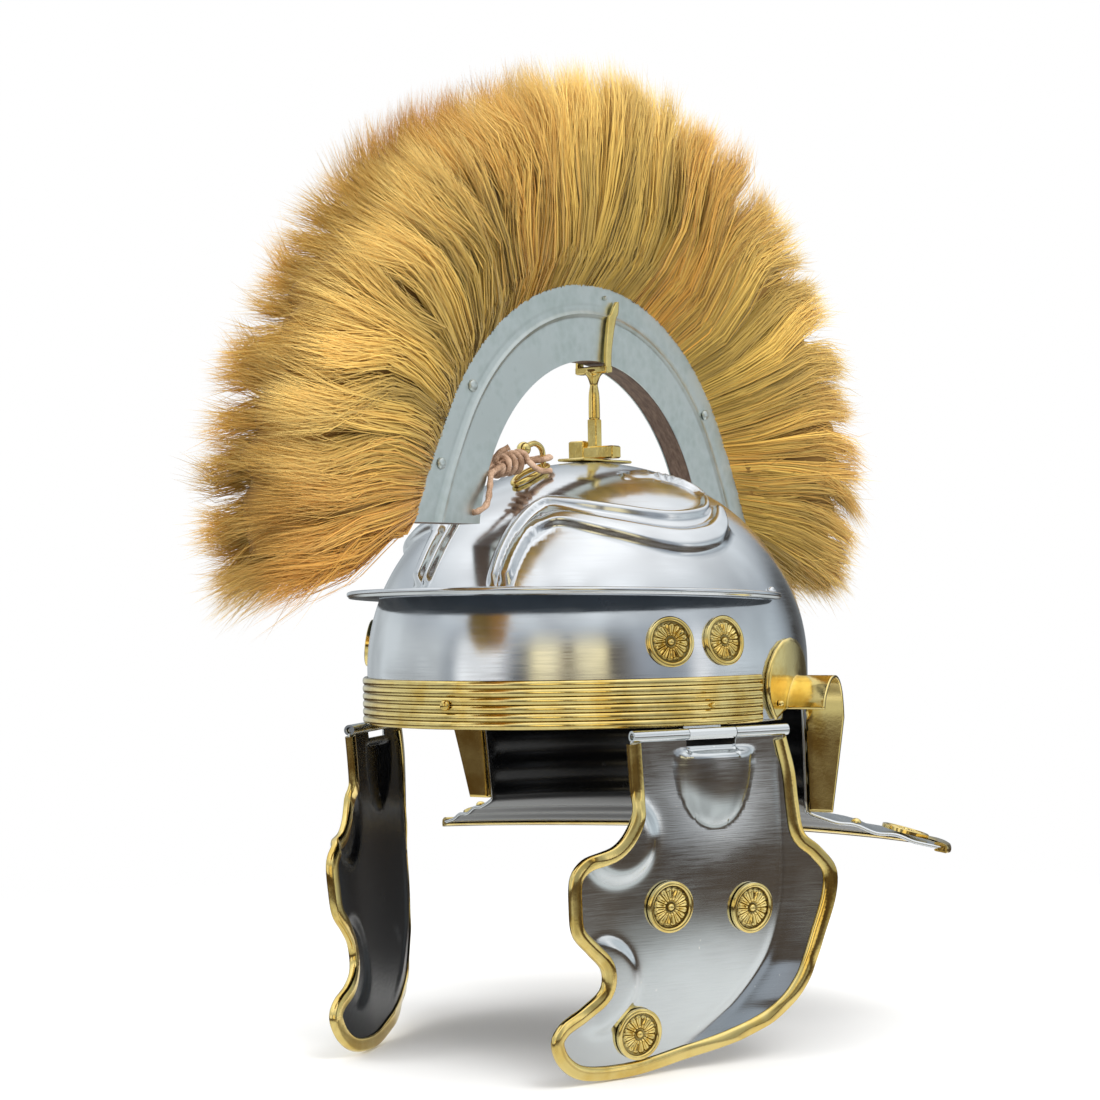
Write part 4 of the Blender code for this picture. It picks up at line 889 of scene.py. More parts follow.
def folded_section(sheet: float, width: float, wall: float, crown: float = 0.0007) -> list[tuple[float, float]]:
    """Section of a folded edging, a rounded C open towards its sheet.

    Args:
        sheet: thickness of the sheet that it holds.
        width: how far it reaches in from the edge.
        wall: thickness of its own sheet.
        crown: height by which its upper face is rounded.

    Returns:
        Pairs of the way in from the edge and the rise from the sheet's middle.
    """
    slot = sheet / 2 + 1.6 * GAP
    outer = slot + wall
    turn = np.linspace(-0.5 * math.pi, 0.5 * math.pi, 9)
    nose = [(-wall * math.cos(a) * 1.15, outer * math.sin(a)) for a in turn]
    round_top = [(width * k, outer + crown * math.sin(math.pi * k)) for k in (0.15, 0.3, 0.45, 0.6, 0.75, 0.88)]
    upper = [(width - 0.0002, outer - 0.00012), (width, slot + 0.0003), (width, slot)]
    inner = [(0.0, slot), (0.0, -slot)]
    lower = [(width, -slot), (width, -slot - 0.0003), (width - 0.0002, -outer + 0.00012), (width - 0.0007, -outer)]
    return nose + round_top + upper + inner + lower


@dataclass
class BrowBand:
    """Reeded brass band round the brow; its three rivets are built with the other fasteners."""

    skull: Skull
    brass: bpy.types.Material
    height: float = 0.022
    thickness: float = 0.0012
    reeds: int = 6
    reed_raise: float = 0.0009
    end: float = 84.0

    def build(self) -> None:
        """Build the band: each reed is half a sine wave, with painted shade as a dark line where two reeds meet."""
        share = np.linspace(0.0, 1.0, self.reeds * 8 + 1)
        wave = np.abs(np.sin(math.pi * self.reeds * share)) ** 0.6
        outer = np.stack([GAP + self.thickness + self.reed_raise * wave, share * self.height], axis=-1)
        section = np.concatenate([[(GAP, self.height), (GAP, 0.0)], outer])
        azimuths = np.linspace(-self.end, self.end, 181)
        rings = self.skull.point(azimuths[:, None], section[None, :, 1], section[None, :, 0])
        shape = loft(rings)
        # Painted shade in the grooves between the reeds
        hollow = np.concatenate([[0.0, 0.0], np.clip(1.0 - wave * 1.9, 0.0, 1.0)])
        hollow = np.concatenate([np.tile(hollow, len(azimuths)), [0.0, 0.0]])
        shape.values["hollow"] = hollow * 0.85
        put("brow_band_reeded", shape, [self.brass], Body.HELMET, ("brow_band",))


@dataclass
class BrowGuard:
    """Steel crescent shelf across the brow with a turned lip; its underside is dark steel as painted shade."""

    skull: Skull
    steel: bpy.types.Material
    underside: bpy.types.Material
    height: float = 0.0612
    droop: float = 0.0045
    reach: float = 0.0175
    plate: float = 0.0014
    lip: float = 0.0036
    end: float = 96.0

    def build(self) -> None:
        """Build the shelf: its reach is a power of the cosine, and its lip a rounded upstand at the edge."""
        azimuths = np.linspace(-self.end, self.end, 241)
        turn = np.radians(azimuths)
        level = self.height - self.droop * (azimuths / self.end) ** 2
        reach = 0.003 + (self.reach - 0.003) * np.cos(turn * 90.0 / self.end) ** 0.7
        root = self.skull.point(azimuths, level, 3 * GAP)
        outward = unit(np.stack([np.sin(turn) / self.skull.half_width, -np.cos(turn) / self.skull.half_length,
                                 np.zeros_like(turn)], axis=-1))
        half = self.plate / 2
        bend = np.linspace(-0.5 * math.pi, 0.5 * math.pi, 7)
        nose = [(1.0, 0.0006 * math.cos(a), half + (self.lip - 2 * half) * (0.5 + 0.5 * math.sin(a)) - half)
                for a in bend]
        section = [(0.0, 0.0, -half), (1.0, -0.0004, -half)] + nose
        section += [(1.0, -0.0009, self.lip - half - 0.0004), (1.0, -0.0012, half + 0.0004), (1.0, -0.0018, half),
                    (0.5, 0.0, half), (0.0, 0.0, half)]
        rings = [root + (reach * share + extra)[:, None] * outward + np.array([0.0, 0.0, rise])
                 for share, extra, rise in section]
        shape = loft(np.stack(rings, axis=1))
        # The underside faces take the second material, dark steel that paints the shade under the shelf
        below = np.tile(np.arange(len(section)) == 0, len(azimuths) - 1)
        shape.slots = np.concatenate([below, np.zeros(2 * len(section))])
        put("brow_guard_shelf", shape, [self.steel, self.underside], Body.HELMET, ("brow_guard",))


@dataclass
class Fasteners:
    """Pressed brass rosettes and domed rivets, each on the seat of its node."""

    brass: bpy.types.Material
    steel: bpy.types.Material
    zinc: bpy.types.Material
    petals: int = 16

    def rosette(self, node: str, body: Body) -> None:
        """A flower in a raised rim: petal outlines round a knob, hollows between them.

        The height of a petal is one less the fourth power of the place across it, less a dip along its
        middle, times a bump between its inner and outer ends.

        Args:
            node: node that it stands for.
            body: body that it moves with.
        """
        seat = Seat.of(node)
        share = np.concatenate([[1.0, 1.0], 1.0 - 0.19 * np.linspace(0.0, 1.0, 8) ** 1.1,
                                np.linspace(0.79, 0.05, 28)])
        sides = self.petals * 8
        angles = circle(sides)
        across = ((angles * self.petals / (2.0 * math.pi)) % 1.0) * 2.0 - 1.0
        s = share[:, None]
        bead = 0.00045 * np.sin(math.pi * np.clip((s - 0.81) / 0.19, 0.0, 1.0)) ** 0.7
        dish = np.where(s > 0.81, 0.0016, 0.00085)
        tip = 0.77 - 0.10 * across**2
        grow = np.clip((s - 0.22) / 0.08, 0.0, 1.0) * np.clip((tip - s) / 0.07, 0.0, 1.0)
        body_of_petal = (1.0 - across**4) * 0.9 - 0.55 * np.exp(-(across / 0.42) ** 2) * (s > 0.34)
        petal = 0.0013 * grow * np.clip(body_of_petal, 0.0, 1.0)
        knob = 0.0017 * np.sqrt(np.clip(1.0 - (s / 0.15) ** 2, 0.0, 1.0))
        heights = np.broadcast_to(dish + bead + petal + knob, (len(share), sides)).copy()
        heights[0] = 0.0
        shape = dome(seat.middle, seat.axis, share * seat.radius, np.zeros(len(share)), sides, heights)
        # Painted shade in the low places between the petals and round the knob
        hollow = np.clip(1.0 - (petal + knob + bead) / 0.0007, 0.0, 1.0) * (s < 0.82) * (s > 0.12)
        shape.values["hollow"] = np.concatenate([np.broadcast_to(hollow, heights.shape).ravel(), [0.0, 0.0]]) * 0.7
        put(node.replace("rosette", "flower"), shape, [self.brass], body, (node,), sharp=60.0)

    def rivet(self, node: str, body: Body, material: bpy.types.Material, peened: bool = False) -> None:
        """A domed head; a peened one has a flatter, dented top.

        Args:
            node: node that it stands for.
            body: body that it moves with.
            material: its material.
            peened: whether its head is hammered.
        """
        seat = Seat.of(node)
        lean = np.linspace(0.0, 0.5 * math.pi, 9)[:-1]
        radii = np.concatenate([[1.0], np.cos(lean) ** (0.7 if peened else 1.0)]) * seat.radius
        heights = np.concatenate([[0.0], 0.12 + 0.88 * np.sin(lean)]) * seat.height * 1.05
        angles = circle(28)
        dent = 0.05 * seat.height * np.sin(3.0 * angles + 1.0)[None] * np.linspace(0.0, 1.0, 9)[:, None]
        shape = dome(seat.middle, seat.axis, radii, heights, 28, dent if peened else None)
        put(node.replace("rivet", "rivet_head"), shape, [material], body, (node,), sharp=60.0)

    def build(self) -> None:
        """Build every rosette and rivet of the model."""
        for side in Side:
            cheek = Body.LEFT_CHEEK if side is Side.LEFT else Body.RIGHT_CHEEK
            for place in ("front", "back"):
                self.rosette(f"bowl_rosette_{side.label}_{place}", Body.HELMET)
                self.rosette(f"cheek_rosette_{side.label}_{place}", cheek)
            self.rosette(f"cheek_rosette_{side.label}_lower", cheek)
            self.rosette(f"neck_rosette_{side.label}", Body.HELMET)
            for name in ("band", "ear", "neck"):
                self.rivet(f"{name}_rivet_{side.label}", Body.HELMET, self.brass)
            self.rivet(f"brow_rivet_{side.label}", Body.HELMET, self.steel, peened=True)
            for number in range(4):
                self.rivet(f"crest_rivet_{side.label}_{number}", Body.HELMET, self.zinc, peened=True)
        self.rivet("band_rivet_front", Body.HELMET, self.brass)


@dataclass
class EarGuard:
    """Brass plate over the ear with a flange standing out from the cut-out."""

    skull: Skull
    bowl: Bowl
    brass: bpy.types.Material
    plate_radius: float = 0.022
    flange: float = 0.020
    sheet: float = 0.0012

    def build(self, side: Side) -> None:
        """Build one guard: rows from the plate's edge to the cut-out, round the bend and out along the flange."""
        azimuths, heights = self.bowl.ear_path(2)
        ends = np.stack([azimuths, heights], axis=-1)[1:]
        per_degree = math.radians(1.0) * self.skull.half_width
        drop = self.bowl.nape_drop
        coarse = np.stack([ends[:, 0] * per_degree, ends[:, 1]], axis=-1)
        flat = even_path(spline(coarse, 10), 70)
        centre = np.array([math.degrees(math.acos(-0.148)) * per_degree, 0.35 * drop])
        away = flat - centre
        away[:, 0] -= 0.004
        outer = centre + unit(away) * self.plate_radius
        lower = np.clip((0.10 * drop - flat[:, 1:]) / (0.3 * drop), 0.0, 1.0) * (flat[:, :1] > centre[0])
        lower = smooth(lower)
        outer = outer * (1.0 - lower) + (flat + np.array([0.006, 0.0])) * lower
        rows = []
        for share in np.linspace(0.0, 1.0, 9):
            spot = outer + (flat - outer) * share
            rows.append(self.skull.point(spot[:, 0] / per_degree, spot[:, 1], self.sheet + 2 * GAP))
        root = rows[-1]
        taper = np.interp(flat[:, 1], [-drop, 0.0], [0.6, 1.0])[:, None]
        rows[-1] = root + (rows[-2] - root) * 0.12 + np.array([0.0003, 0.0, 0.0])
        rows += [root + np.array([self.flange * share, 0.0, 0.0]) * taper
                 for share in (0.06, 0.2, 0.5, 0.8, 0.97, 1.0)]
        shape = skin(np.stack(rows)).towards((1.0, 0.0, 0.0)).mirrored(side)
        put(f"ear_guard_plate_{side.label}", shape, [self.brass], Body.HELMET, (f"ear_guard_{side.label}",),
            wall=self.sheet)


@dataclass
class CheekGuard:
    """Hinged steel cheek guard: embossed plate, painted inside, with knuckles and a folded brass edging."""

    steel: bpy.types.Material
    paint: bpy.types.Material
    brass: bpy.types.Material
    width: float = 0.156
    height: float = 0.1505
    sheet: float = 0.0012
    lean: float = 4.0
    boss_raise: float = 0.0045
    bulge: float = 0.004
    front_flare: float = 0.0045
    back_flare: float = 0.010
    knuckle_radius: float = 0.0026
    knuckle_span: float = 0.0425
    leaf_half: float = 0.0128
    edging: float = 0.0055
    forward: tuple[float, float] = (-0.390, -0.921)
    hinge: tuple[float, float, float] = (0.0982, -0.0466, -0.0034)

    # Shares of the width ahead of the hinge's middle and of the height down from it
    EDGE = ((0.281, 0.021), (0.272, 0.120), (0.268, 0.200), (0.292, 0.268), (0.340, 0.318), (0.425, 0.345),
            (0.478, 0.395), (0.480, 0.490), (0.466, 0.565), (0.412, 0.622), (0.364, 0.675), (0.366, 0.738),
            (0.430, 0.786), (0.505, 0.822), (0.535, 0.872), (0.500, 0.942), (0.415, 0.990), (0.260, 1.000),
            (0.090, 0.974), (-0.090, 0.932), (-0.236, 0.868), (-0.330, 0.762), (-0.380, 0.620), (-0.410, 0.510),
            (-0.410, 0.425), (-0.366, 0.362), (-0.318, 0.315), (-0.302, 0.225), (-0.290, 0.120), (-0.262, 0.021))
    # Crease ahead of the flared rear lobe, millimetres ahead and down
    CREASE = ((-37.0, 4.0), (-38.0, 20.0), (-39.0, 34.0), (-40.0, 57.0), (-39.0, 80.0), (-34.0, 99.0),
              (-26.5, 111.0), (-14.0, 124.0), (0.0, 133.5), (12.0, 140.0))
    MIDDLE = (0.0, 0.72)

    def place(self, ahead: Array, out: Array, up: Array) -> Array:
        """Place of a spot on the left guard, given along the hinge, outwards and upwards, leaned inwards below."""
        lean = math.radians(self.lean)
        ahead, out, up = np.broadcast_arrays(ahead, out, up)
        level = out * math.cos(lean) + up * math.sin(lean)
        rise = up * math.cos(lean) - out * math.sin(lean)
        outward = np.array([-self.forward[1], self.forward[0], 0.0])
        return (np.array(self.hinge) + ahead[..., None] * np.array([*self.forward, 0.0])
                + level[..., None] * outward + rise[..., None] * np.array([0.0, 0.0, 1.0]))

    def relief(self, ahead: Array, down: Array) -> Array:
        """Rise of the plate: a domed boss with a stepped top, two lips round the notches, a slight bulge, and
        the rear lobe that leans out beyond its crease.

        Args:
            ahead: metres ahead of the hinge's middle.
            down: metres down from it.
        """
        u, v = ahead * 1000.0, down * 1000.0
        share = down / self.height
        ring = (np.abs((u + 2.2) / 20.5) ** 2.1 + (np.maximum(v - 11.0, 0.0) / 31.0) ** 2.1) ** (1.0 / 2.1)
        step = smooth(np.clip((v - 6.6) / 3.2, 0.0, 1.0))
        boss = self.boss_raise * np.clip(1.0 - ring**2.6, 0.0, 1.0) ** 0.85 * step
        first = np.hypot(u - 49.0, v - 45.0) - 17.5
        second = np.hypot(u - 59.0, v - 109.0) - 20.5
        lips = 0.0028 * (1.0 / (1.0 + np.exp(first / 1.3)))
        fade = 1.0 / (1.0 + np.exp((u - 58.0) / 3.0))
        lips = lips + 0.0017 * (1.0 / (1.0 + np.exp(second / 1.0))) * fade
        swell = self.bulge * np.sin(math.pi * share) ** 2 * np.exp(-((ahead / self.width / 0.35) ** 2))
        front = self.front_flare * np.maximum((ahead / self.width - 0.25) / 0.25, 0.0) ** 2
        line = spline(self.CREASE, 8)
        slope = np.gradient(line[:, 0], line[:, 1])
        beyond = (np.interp(v, line[:, 1], line[:, 0]) - u) / np.sqrt(1.0 + np.interp(v, line[:, 1], slope) ** 2)
        back = self.back_flare * (np.clip(beyond, 0.0, None) / 26.0) ** 1.35
        groove = -0.0004 * np.exp(-((beyond / 2.4) ** 2)) * np.clip((138.0 - v) / 12.0, 0.0, 1.0)
        return boss + swell + groove + lips + (front + back) * np.clip(share / 0.3, 0.0, 1.0)

    def edge_curve(self, count: int) -> tuple[Array, Array]:
        """Edge as evenly spaced places ahead and down, with the inward direction at each."""
        rows = np.array(self.EDGE) * (self.width, self.height)
        edge = even_path(spline(rows, 12), count)
        along = np.gradient(edge, axis=0)
        return edge, unit(np.stack([-along[:, 1], along[:, 0]], axis=-1))

    def plate(self) -> Shape:
        """Outer face: a grid of rays from the middle to the outline, closed at the middle."""
        edge, inward = self.edge_curve(216)
        side = edge + inward * (2 * GAP)
        top, notch = 0.73 * self.knuckle_radius, 2.1 * self.knuckle_radius
        middle = np.array(self.MIDDLE) * (self.width, self.height)
        leaf = self.leaf_half + 2 * GAP
        wide = leaf * (middle[1] - top) / (middle[1] - notch) + 0.0001
        head = np.array([(side[-1, 0], top), (-wide, top), (-leaf, notch), (leaf, notch), (wide, top),
                         (side[0, 0], top)])
        head = np.concatenate([even_path(head[k:k + 2], 15)[:-1] for k in range(5)] + [head[-1:]])
        outline = np.concatenate([side, head])
        rays = 1.0 - (1.0 - np.linspace(0.02, 1.0, 80)) ** 1.15
        flat = middle + rays[:, None, None] * (outline - middle)
        shape = skin(self.place(flat[..., 0], self.relief(flat[..., 0], flat[..., 1]) + self.sheet / 2,
                                -flat[..., 1]), wrap=True)
        centre = self.place(middle[0], self.relief(middle[:1], middle[1:])[0] + self.sheet / 2, -middle[1])
        hub = fan(np.arange(len(outline)), len(shape.points))
        return Shape(np.concatenate([shape.points, centre[None]]), [shape.faces[0], hub]).towards((1.0, -0.4, 0.0))

    def channel(self) -> Shape:
        """Folded brass edging down one side, round and up the other."""
        edge, towards = self.edge_curve(210)
        sections = []
        for inward, rise in folded_section(self.sheet, self.edging, 0.0008):
            spot = edge + towards * inward
            sections.append(self.place(spot[:, 0], self.relief(spot[:, 0], spot[:, 1]) + rise, -spot[:, 1]))
        return loft(np.stack(sections, axis=1))

    def knuckles(self) -> Shape:
        """Rolled knuckles at both ends of the hinge, with a seam where the sheet comes round."""
        tubes = []
        for start, end in ((self.leaf_half + GAP, self.knuckle_span), (-self.knuckle_span, -self.leaf_half - GAP)):
            ahead = np.linspace(start, end, 12)
            angles = circle(24)
            radius = self.knuckle_radius - 0.0001 * np.exp(-((angles - 4.0) / 0.2) ** 2)
            inner = self.knuckle_radius - 0.0011
            outer = self.place(ahead[:, None], (radius * np.cos(angles))[None], (radius * np.sin(angles))[None])
            bore = self.place(ahead[::-1, None], (inner * np.cos(angles))[None], (inner * np.sin(angles))[None])
            tubes.append(loft(np.concatenate([outer, bore]), closed=True))
        return joined(tubes)

    def build(self, side: Side) -> None:
        """Build one cheek guard.

        Args:
            side: the wearer's left or right.
        """
        body = Body.LEFT_CHEEK if side is Side.LEFT else Body.RIGHT_CHEEK
        put(f"cheek_sheet_{side.label}", self.plate().mirrored(side), [self.steel, self.paint], body,
            (f"cheek_plate_{side.label}",), wall=self.sheet, sharp=80.0)
        put(f"cheek_knuckles_{side.label}", self.knuckles().mirrored(side), [self.steel], body,
            (f"cheek_plate_{side.label}",))
        put(f"cheek_trim_{side.label}", self.channel().mirrored(side), [self.brass], body,
            (f"cheek_edging_{side.label}",))
        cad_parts[f"hinge_leaf_{side.label}"].data.materials.clear()
        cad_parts[f"hinge_leaf_{side.label}"].data.materials.append(self.steel)


@dataclass
class CrestBox:
    """Arched crest box: a wooden core between two galvanised plates, each with a pressed bead."""

    wood: bpy.types.Material
    zinc: bpy.types.Material
    height: float = 0.078
    outer: float = 0.1346
    inner: float = 0.0966
    foot: float = 0.093
    flare: float = 0.010
    core: float = 0.0110
    sheet: float = 0.0010

    def arch(self, share: Array, depth: Array | float, x: Array | float) -> Array:
        """Place in the arch.

        Args:
            share: from -1 at the front foot to 1 at the back one.
            depth: 0 at the inside and 1 at the outside.
            x: distance to the wearer's left.
        """
        share, depth, x = np.broadcast_arrays(np.asarray(share, dtype=float), depth, x)
        flare = self.flare * np.clip((np.abs(share) - 0.72) / 0.28, 0.0, 1.0) ** 2 * depth
        radius = self.inner + (self.outer - self.inner) * depth + flare
        angle = share * np.arccos((self.foot - self.height) / radius)
        return np.stack([np.broadcast_to(x, radius.shape), radius * np.sin(angle),
                         self.height + radius * np.cos(angle)], axis=-1)

    def slab(self, section: Array) -> Shape:
        """Slab of the arch with a section given as rows of x and depth."""
        shares = np.linspace(-1.0, 1.0, 151)
        return loft(self.arch(shares[:, None], section[None, :, 1], section[None, :, 0]))

    def build(self) -> None:
        """Build the core and both plates."""
        half = self.core / 2
        top = 1.0 - 0.003 / (self.outer - self.inner)
        core = np.array([(-half, 0.0), (-half, top), (half, top), (half, 0.0)])
        put("crest_box_core", self.slab(core), [self.wood], Body.HELMET, ("crest_core",))
        depth = np.linspace(0.0, 1.0, 61)
        bead = 0.0008 * np.exp(-(((depth - 0.60) / 0.028) ** 2)) - 0.0002 * np.exp(-(((depth - 0.70) / 0.03) ** 2))
        wave = 0.00025 * np.sin(math.pi * depth)
        face = np.stack([half + self.sheet + bead + wave, depth], axis=-1)
        section = np.concatenate([[(half + GAP, 0.0)], face, [(half + GAP, 1.0)]])
        for side in Side:
            put(f"crest_box_plate_{side.label}", self.slab(section).mirrored(side), [self.zinc], Body.HELMET,
                (f"crest_side_{side.label}",))


@dataclass
class CrestHolder:
    """Cast brass holder on the crown: a base plate, a key foot, a turned stem and a fork of two prongs."""

    crest: CrestBox
    skull: Skull
    brass: bpy.types.Material
    plate: tuple[float, float, float] = (0.016, 0.042, 0.0014)
    key: float = 0.026
    back: float = 0.008
    stem: float = 0.0027
    fork_top: float = 0.205
    prong: float = 0.002

    def build(self) -> None:
        """Build the base plate and the holder."""
        width, length, thick = self.plate
        low = self.skull.crown + GAP
        base = block((-width / 2, self.back - length / 2, low), (width / 2, self.back + length / 2, low + thick),
                     0.0004)
        put("crest_base_plate", base, [self.brass], Body.HELMET, ("crest_base",))
        foot = low + thick + GAP
        half, key = 0.004, self.key / 2
        top = self.crest.height + math.sqrt(self.crest.inner**2 - (self.back + 0.003) ** 2)
        shapes = [block((-key, -half, foot), (key, half, foot + 0.0062)),
                  block((-key, -half - 0.0006, foot), (-0.3 * key, half + 0.0006, foot + 0.0092)),
                  block((-0.0027, -0.0027, foot + 0.003), (0.0027, 0.0027, 0.147))]
        profile = spline([(0.0020, 0.1455), (self.stem, 0.1470), (self.stem * 1.05, 0.1490), (self.stem, 0.1580),
                          (0.0022, 0.1620), (0.0020, 0.1640), (0.0032, top - 0.0062), (0.0046, top - 0.0044),
                          (0.0040, top - 0.0026)], 6)
        shapes.append(dome(np.zeros(3), np.array([0.0, 0.0, 1.0]), profile[:, 0], profile[:, 1], 28))
        grip = self.crest.core / 2 + self.crest.sheet + 3 * GAP
        shapes.append(block((-grip - self.prong, -0.003, top - 0.0048), (grip + self.prong, 0.003, top - 4 * GAP)))
        for sign in (1.0, -1.0):
            rows = spline([(top - 0.0044, 0.0, 0.0029), (top + 0.004, 0.0002, 0.0027), (top + 0.012, 0.0015, 0.0030),
                           (top + 0.022, 0.0040, 0.0034), (self.fork_top - 0.006, 0.0064, 0.0030),
                           (self.fork_top - 0.002, 0.0080, 0.0020), (self.fork_top, 0.0088, 0.0009)], 6)
            turn = circle(16)
            across = np.sign(np.cos(turn)) * np.abs(np.cos(turn)) ** 0.5
            thick_way = np.sign(np.sin(turn)) * np.abs(np.sin(turn)) ** 0.6 * self.prong / 2
            rings = np.stack([sign * (grip + self.prong / 2) + np.broadcast_to(thick_way, (len(rows), 16)),
                              rows[:, 1:2] + rows[:, 2:3] * across,
                              np.repeat(rows[:, :1], 16, axis=1)], axis=-1)
            shapes.append(loft(rings))
        whole = joined([Shape(s.points + np.array([0.0, self.back, 0.0]), s.faces) for s in shapes])
        put("crest_holder", whole, [self.brass], Body.HELMET, ("crest_fork",), sharp=35.0)


@dataclass
class FrontHook:
    """Brass hook on the front of the crown: an oval foot, a bent neck and a ball."""

    skull: Skull
    brass: bpy.types.Material
    y: float = -0.036
    wire: float = 0.0014
    ball: float = 0.0034

    def build(self) -> None:
        """Build the hook."""
        ground = float(self.skull.top(0.0, self.y))
        neck = spline([(0.0, self.y, ground + 0.0005), (0.0, self.y, ground + 0.006),
                       (0.0, self.y - 0.0015, ground + 0.0105), (0.0, self.y - 0.007, ground + 0.0125),
                       (0.0, self.y - 0.0145, ground + 0.0104)], 8)
        lean = np.linspace(-0.5 * math.pi, 0.5 * math.pi, 19)[1:-1]
        sphere = dome(np.array([0.0, self.y - 0.0155, ground + 0.0095]), np.array([0.0, 0.0, 1.0]),
                      self.ball * np.cos(lean), self.ball * np.sin(lean), 28)
        turn = circle(72)
        across, along = 0.0046 * np.sin(turn), self.y - 0.0105 - 0.0125 * np.cos(turn)
        foot = np.stack([across, along, self.skull.top(across, along) + self.wire + GAP], axis=-1)
        shape = joined([tube(neck, self.wire), sphere, tube(foot, self.wire, closed=True)])
        put("crest_hook", shape, [self.brass], Body.HELMET, ("front_hook",))


@dataclass
class Lace:
    """Leather lace that ties the crest to the hook, along the route of the model's lace."""

    skull: Skull
    crest: CrestBox
    hook: FrontHook
    leather: bpy.types.Material
    diameter: float = 0.0028
    wrap_radius: float = 0.0047
    wrap_turns: int = 4

    def route(self) -> Array:
        """Points along the lace: a loose end, turns about the strands, the crest's hole, the hook and back."""
        y = self.hook.y
        _, hole_y, hole_z = self.crest.arch(-0.965, 0.12, 0.0)
        start, end = np.array([0.0, y - 0.0190, 0.1235]), np.array([0.0, y - 0.0385, 0.1205])
        turns = np.linspace(0.0, self.wrap_turns, self.wrap_turns * 24 + 1)
        angle = 2.0 * math.pi * turns
        wrap = start + (end - start) * (turns / self.wrap_turns)[:, None]
        wrap = wrap + self.wrap_radius * np.stack([np.cos(angle), 0.0 * angle, np.sin(angle)], axis=-1)
        lying = start[1] + 0.0095
        loose = [(0.0115, lying, float(self.skull.top(0.0115, lying)) + 0.0026), (0.0088, start[1] + 0.004, 0.1190)]
        face = self.crest.core / 2 + self.crest.sheet
        to_hole = [(0.0072, hole_y + 0.013, 0.1165), (face + 0.0046, hole_y + 0.0050, hole_z + 0.0050),
                   (face + 0.0028, hole_y + 0.0008, hole_z + 0.0008), (0.7 * face, hole_y, hole_z),
                   (-0.7 * face, hole_y, hole_z), (-face - 0.0028, hole_y + 0.0008, hole_z + 0.0008),
                   (-face - 0.0040, hole_y + 0.0050, hole_z + 0.0055), (-0.0060, hole_y + 0.0115, hole_z + 0.0115)]
        strand = 0.0016
        around = [(-strand, end[1] + 0.002, 0.1206), (-strand, start[1], 0.1235), (-0.0036, y - 0.010, 0.1240),
                  (-0.0042, y - 0.001, 0.1256), (0.0, y + 0.0044, 0.1264), (0.0042, y - 0.001, 0.1256),
                  (0.0036, y - 0.010, 0.1240), (strand, start[1], 0.1235), (strand, end[1] + 0.002, 0.1206)]
        loose_end = [(0.0020, end[1] - 0.0025, 0.1225), (0.0045, end[1] - 0.0030, 0.1262), (0.0085, end[1], 0.1290)]
        parts = [spline(loose + [tuple(wrap[0])], 6)[:-1], wrap, spline(to_hole, 6), spline(around, 6),
                 spline(loose_end, 8)]
        whole = np.concatenate(parts)
        keep = np.concatenate([[True], np.linalg.norm(np.diff(whole, axis=0), axis=1) > 1e-5])
        return even_path(whole[keep], 420)

    def build(self) -> None:
        """Build the lace: an oval tube that twists along its route."""
        path = self.route()
        radius = self.diameter / 2 * (1.0 + 0.05 * np.sin(np.arange(len(path)) * 0.9))
        put("crest_lace", tube(path, radius, 12, squash=0.08, twist=26.0), [self.leather], Body.HELMET, ("lace",),
            sharp=70.0)


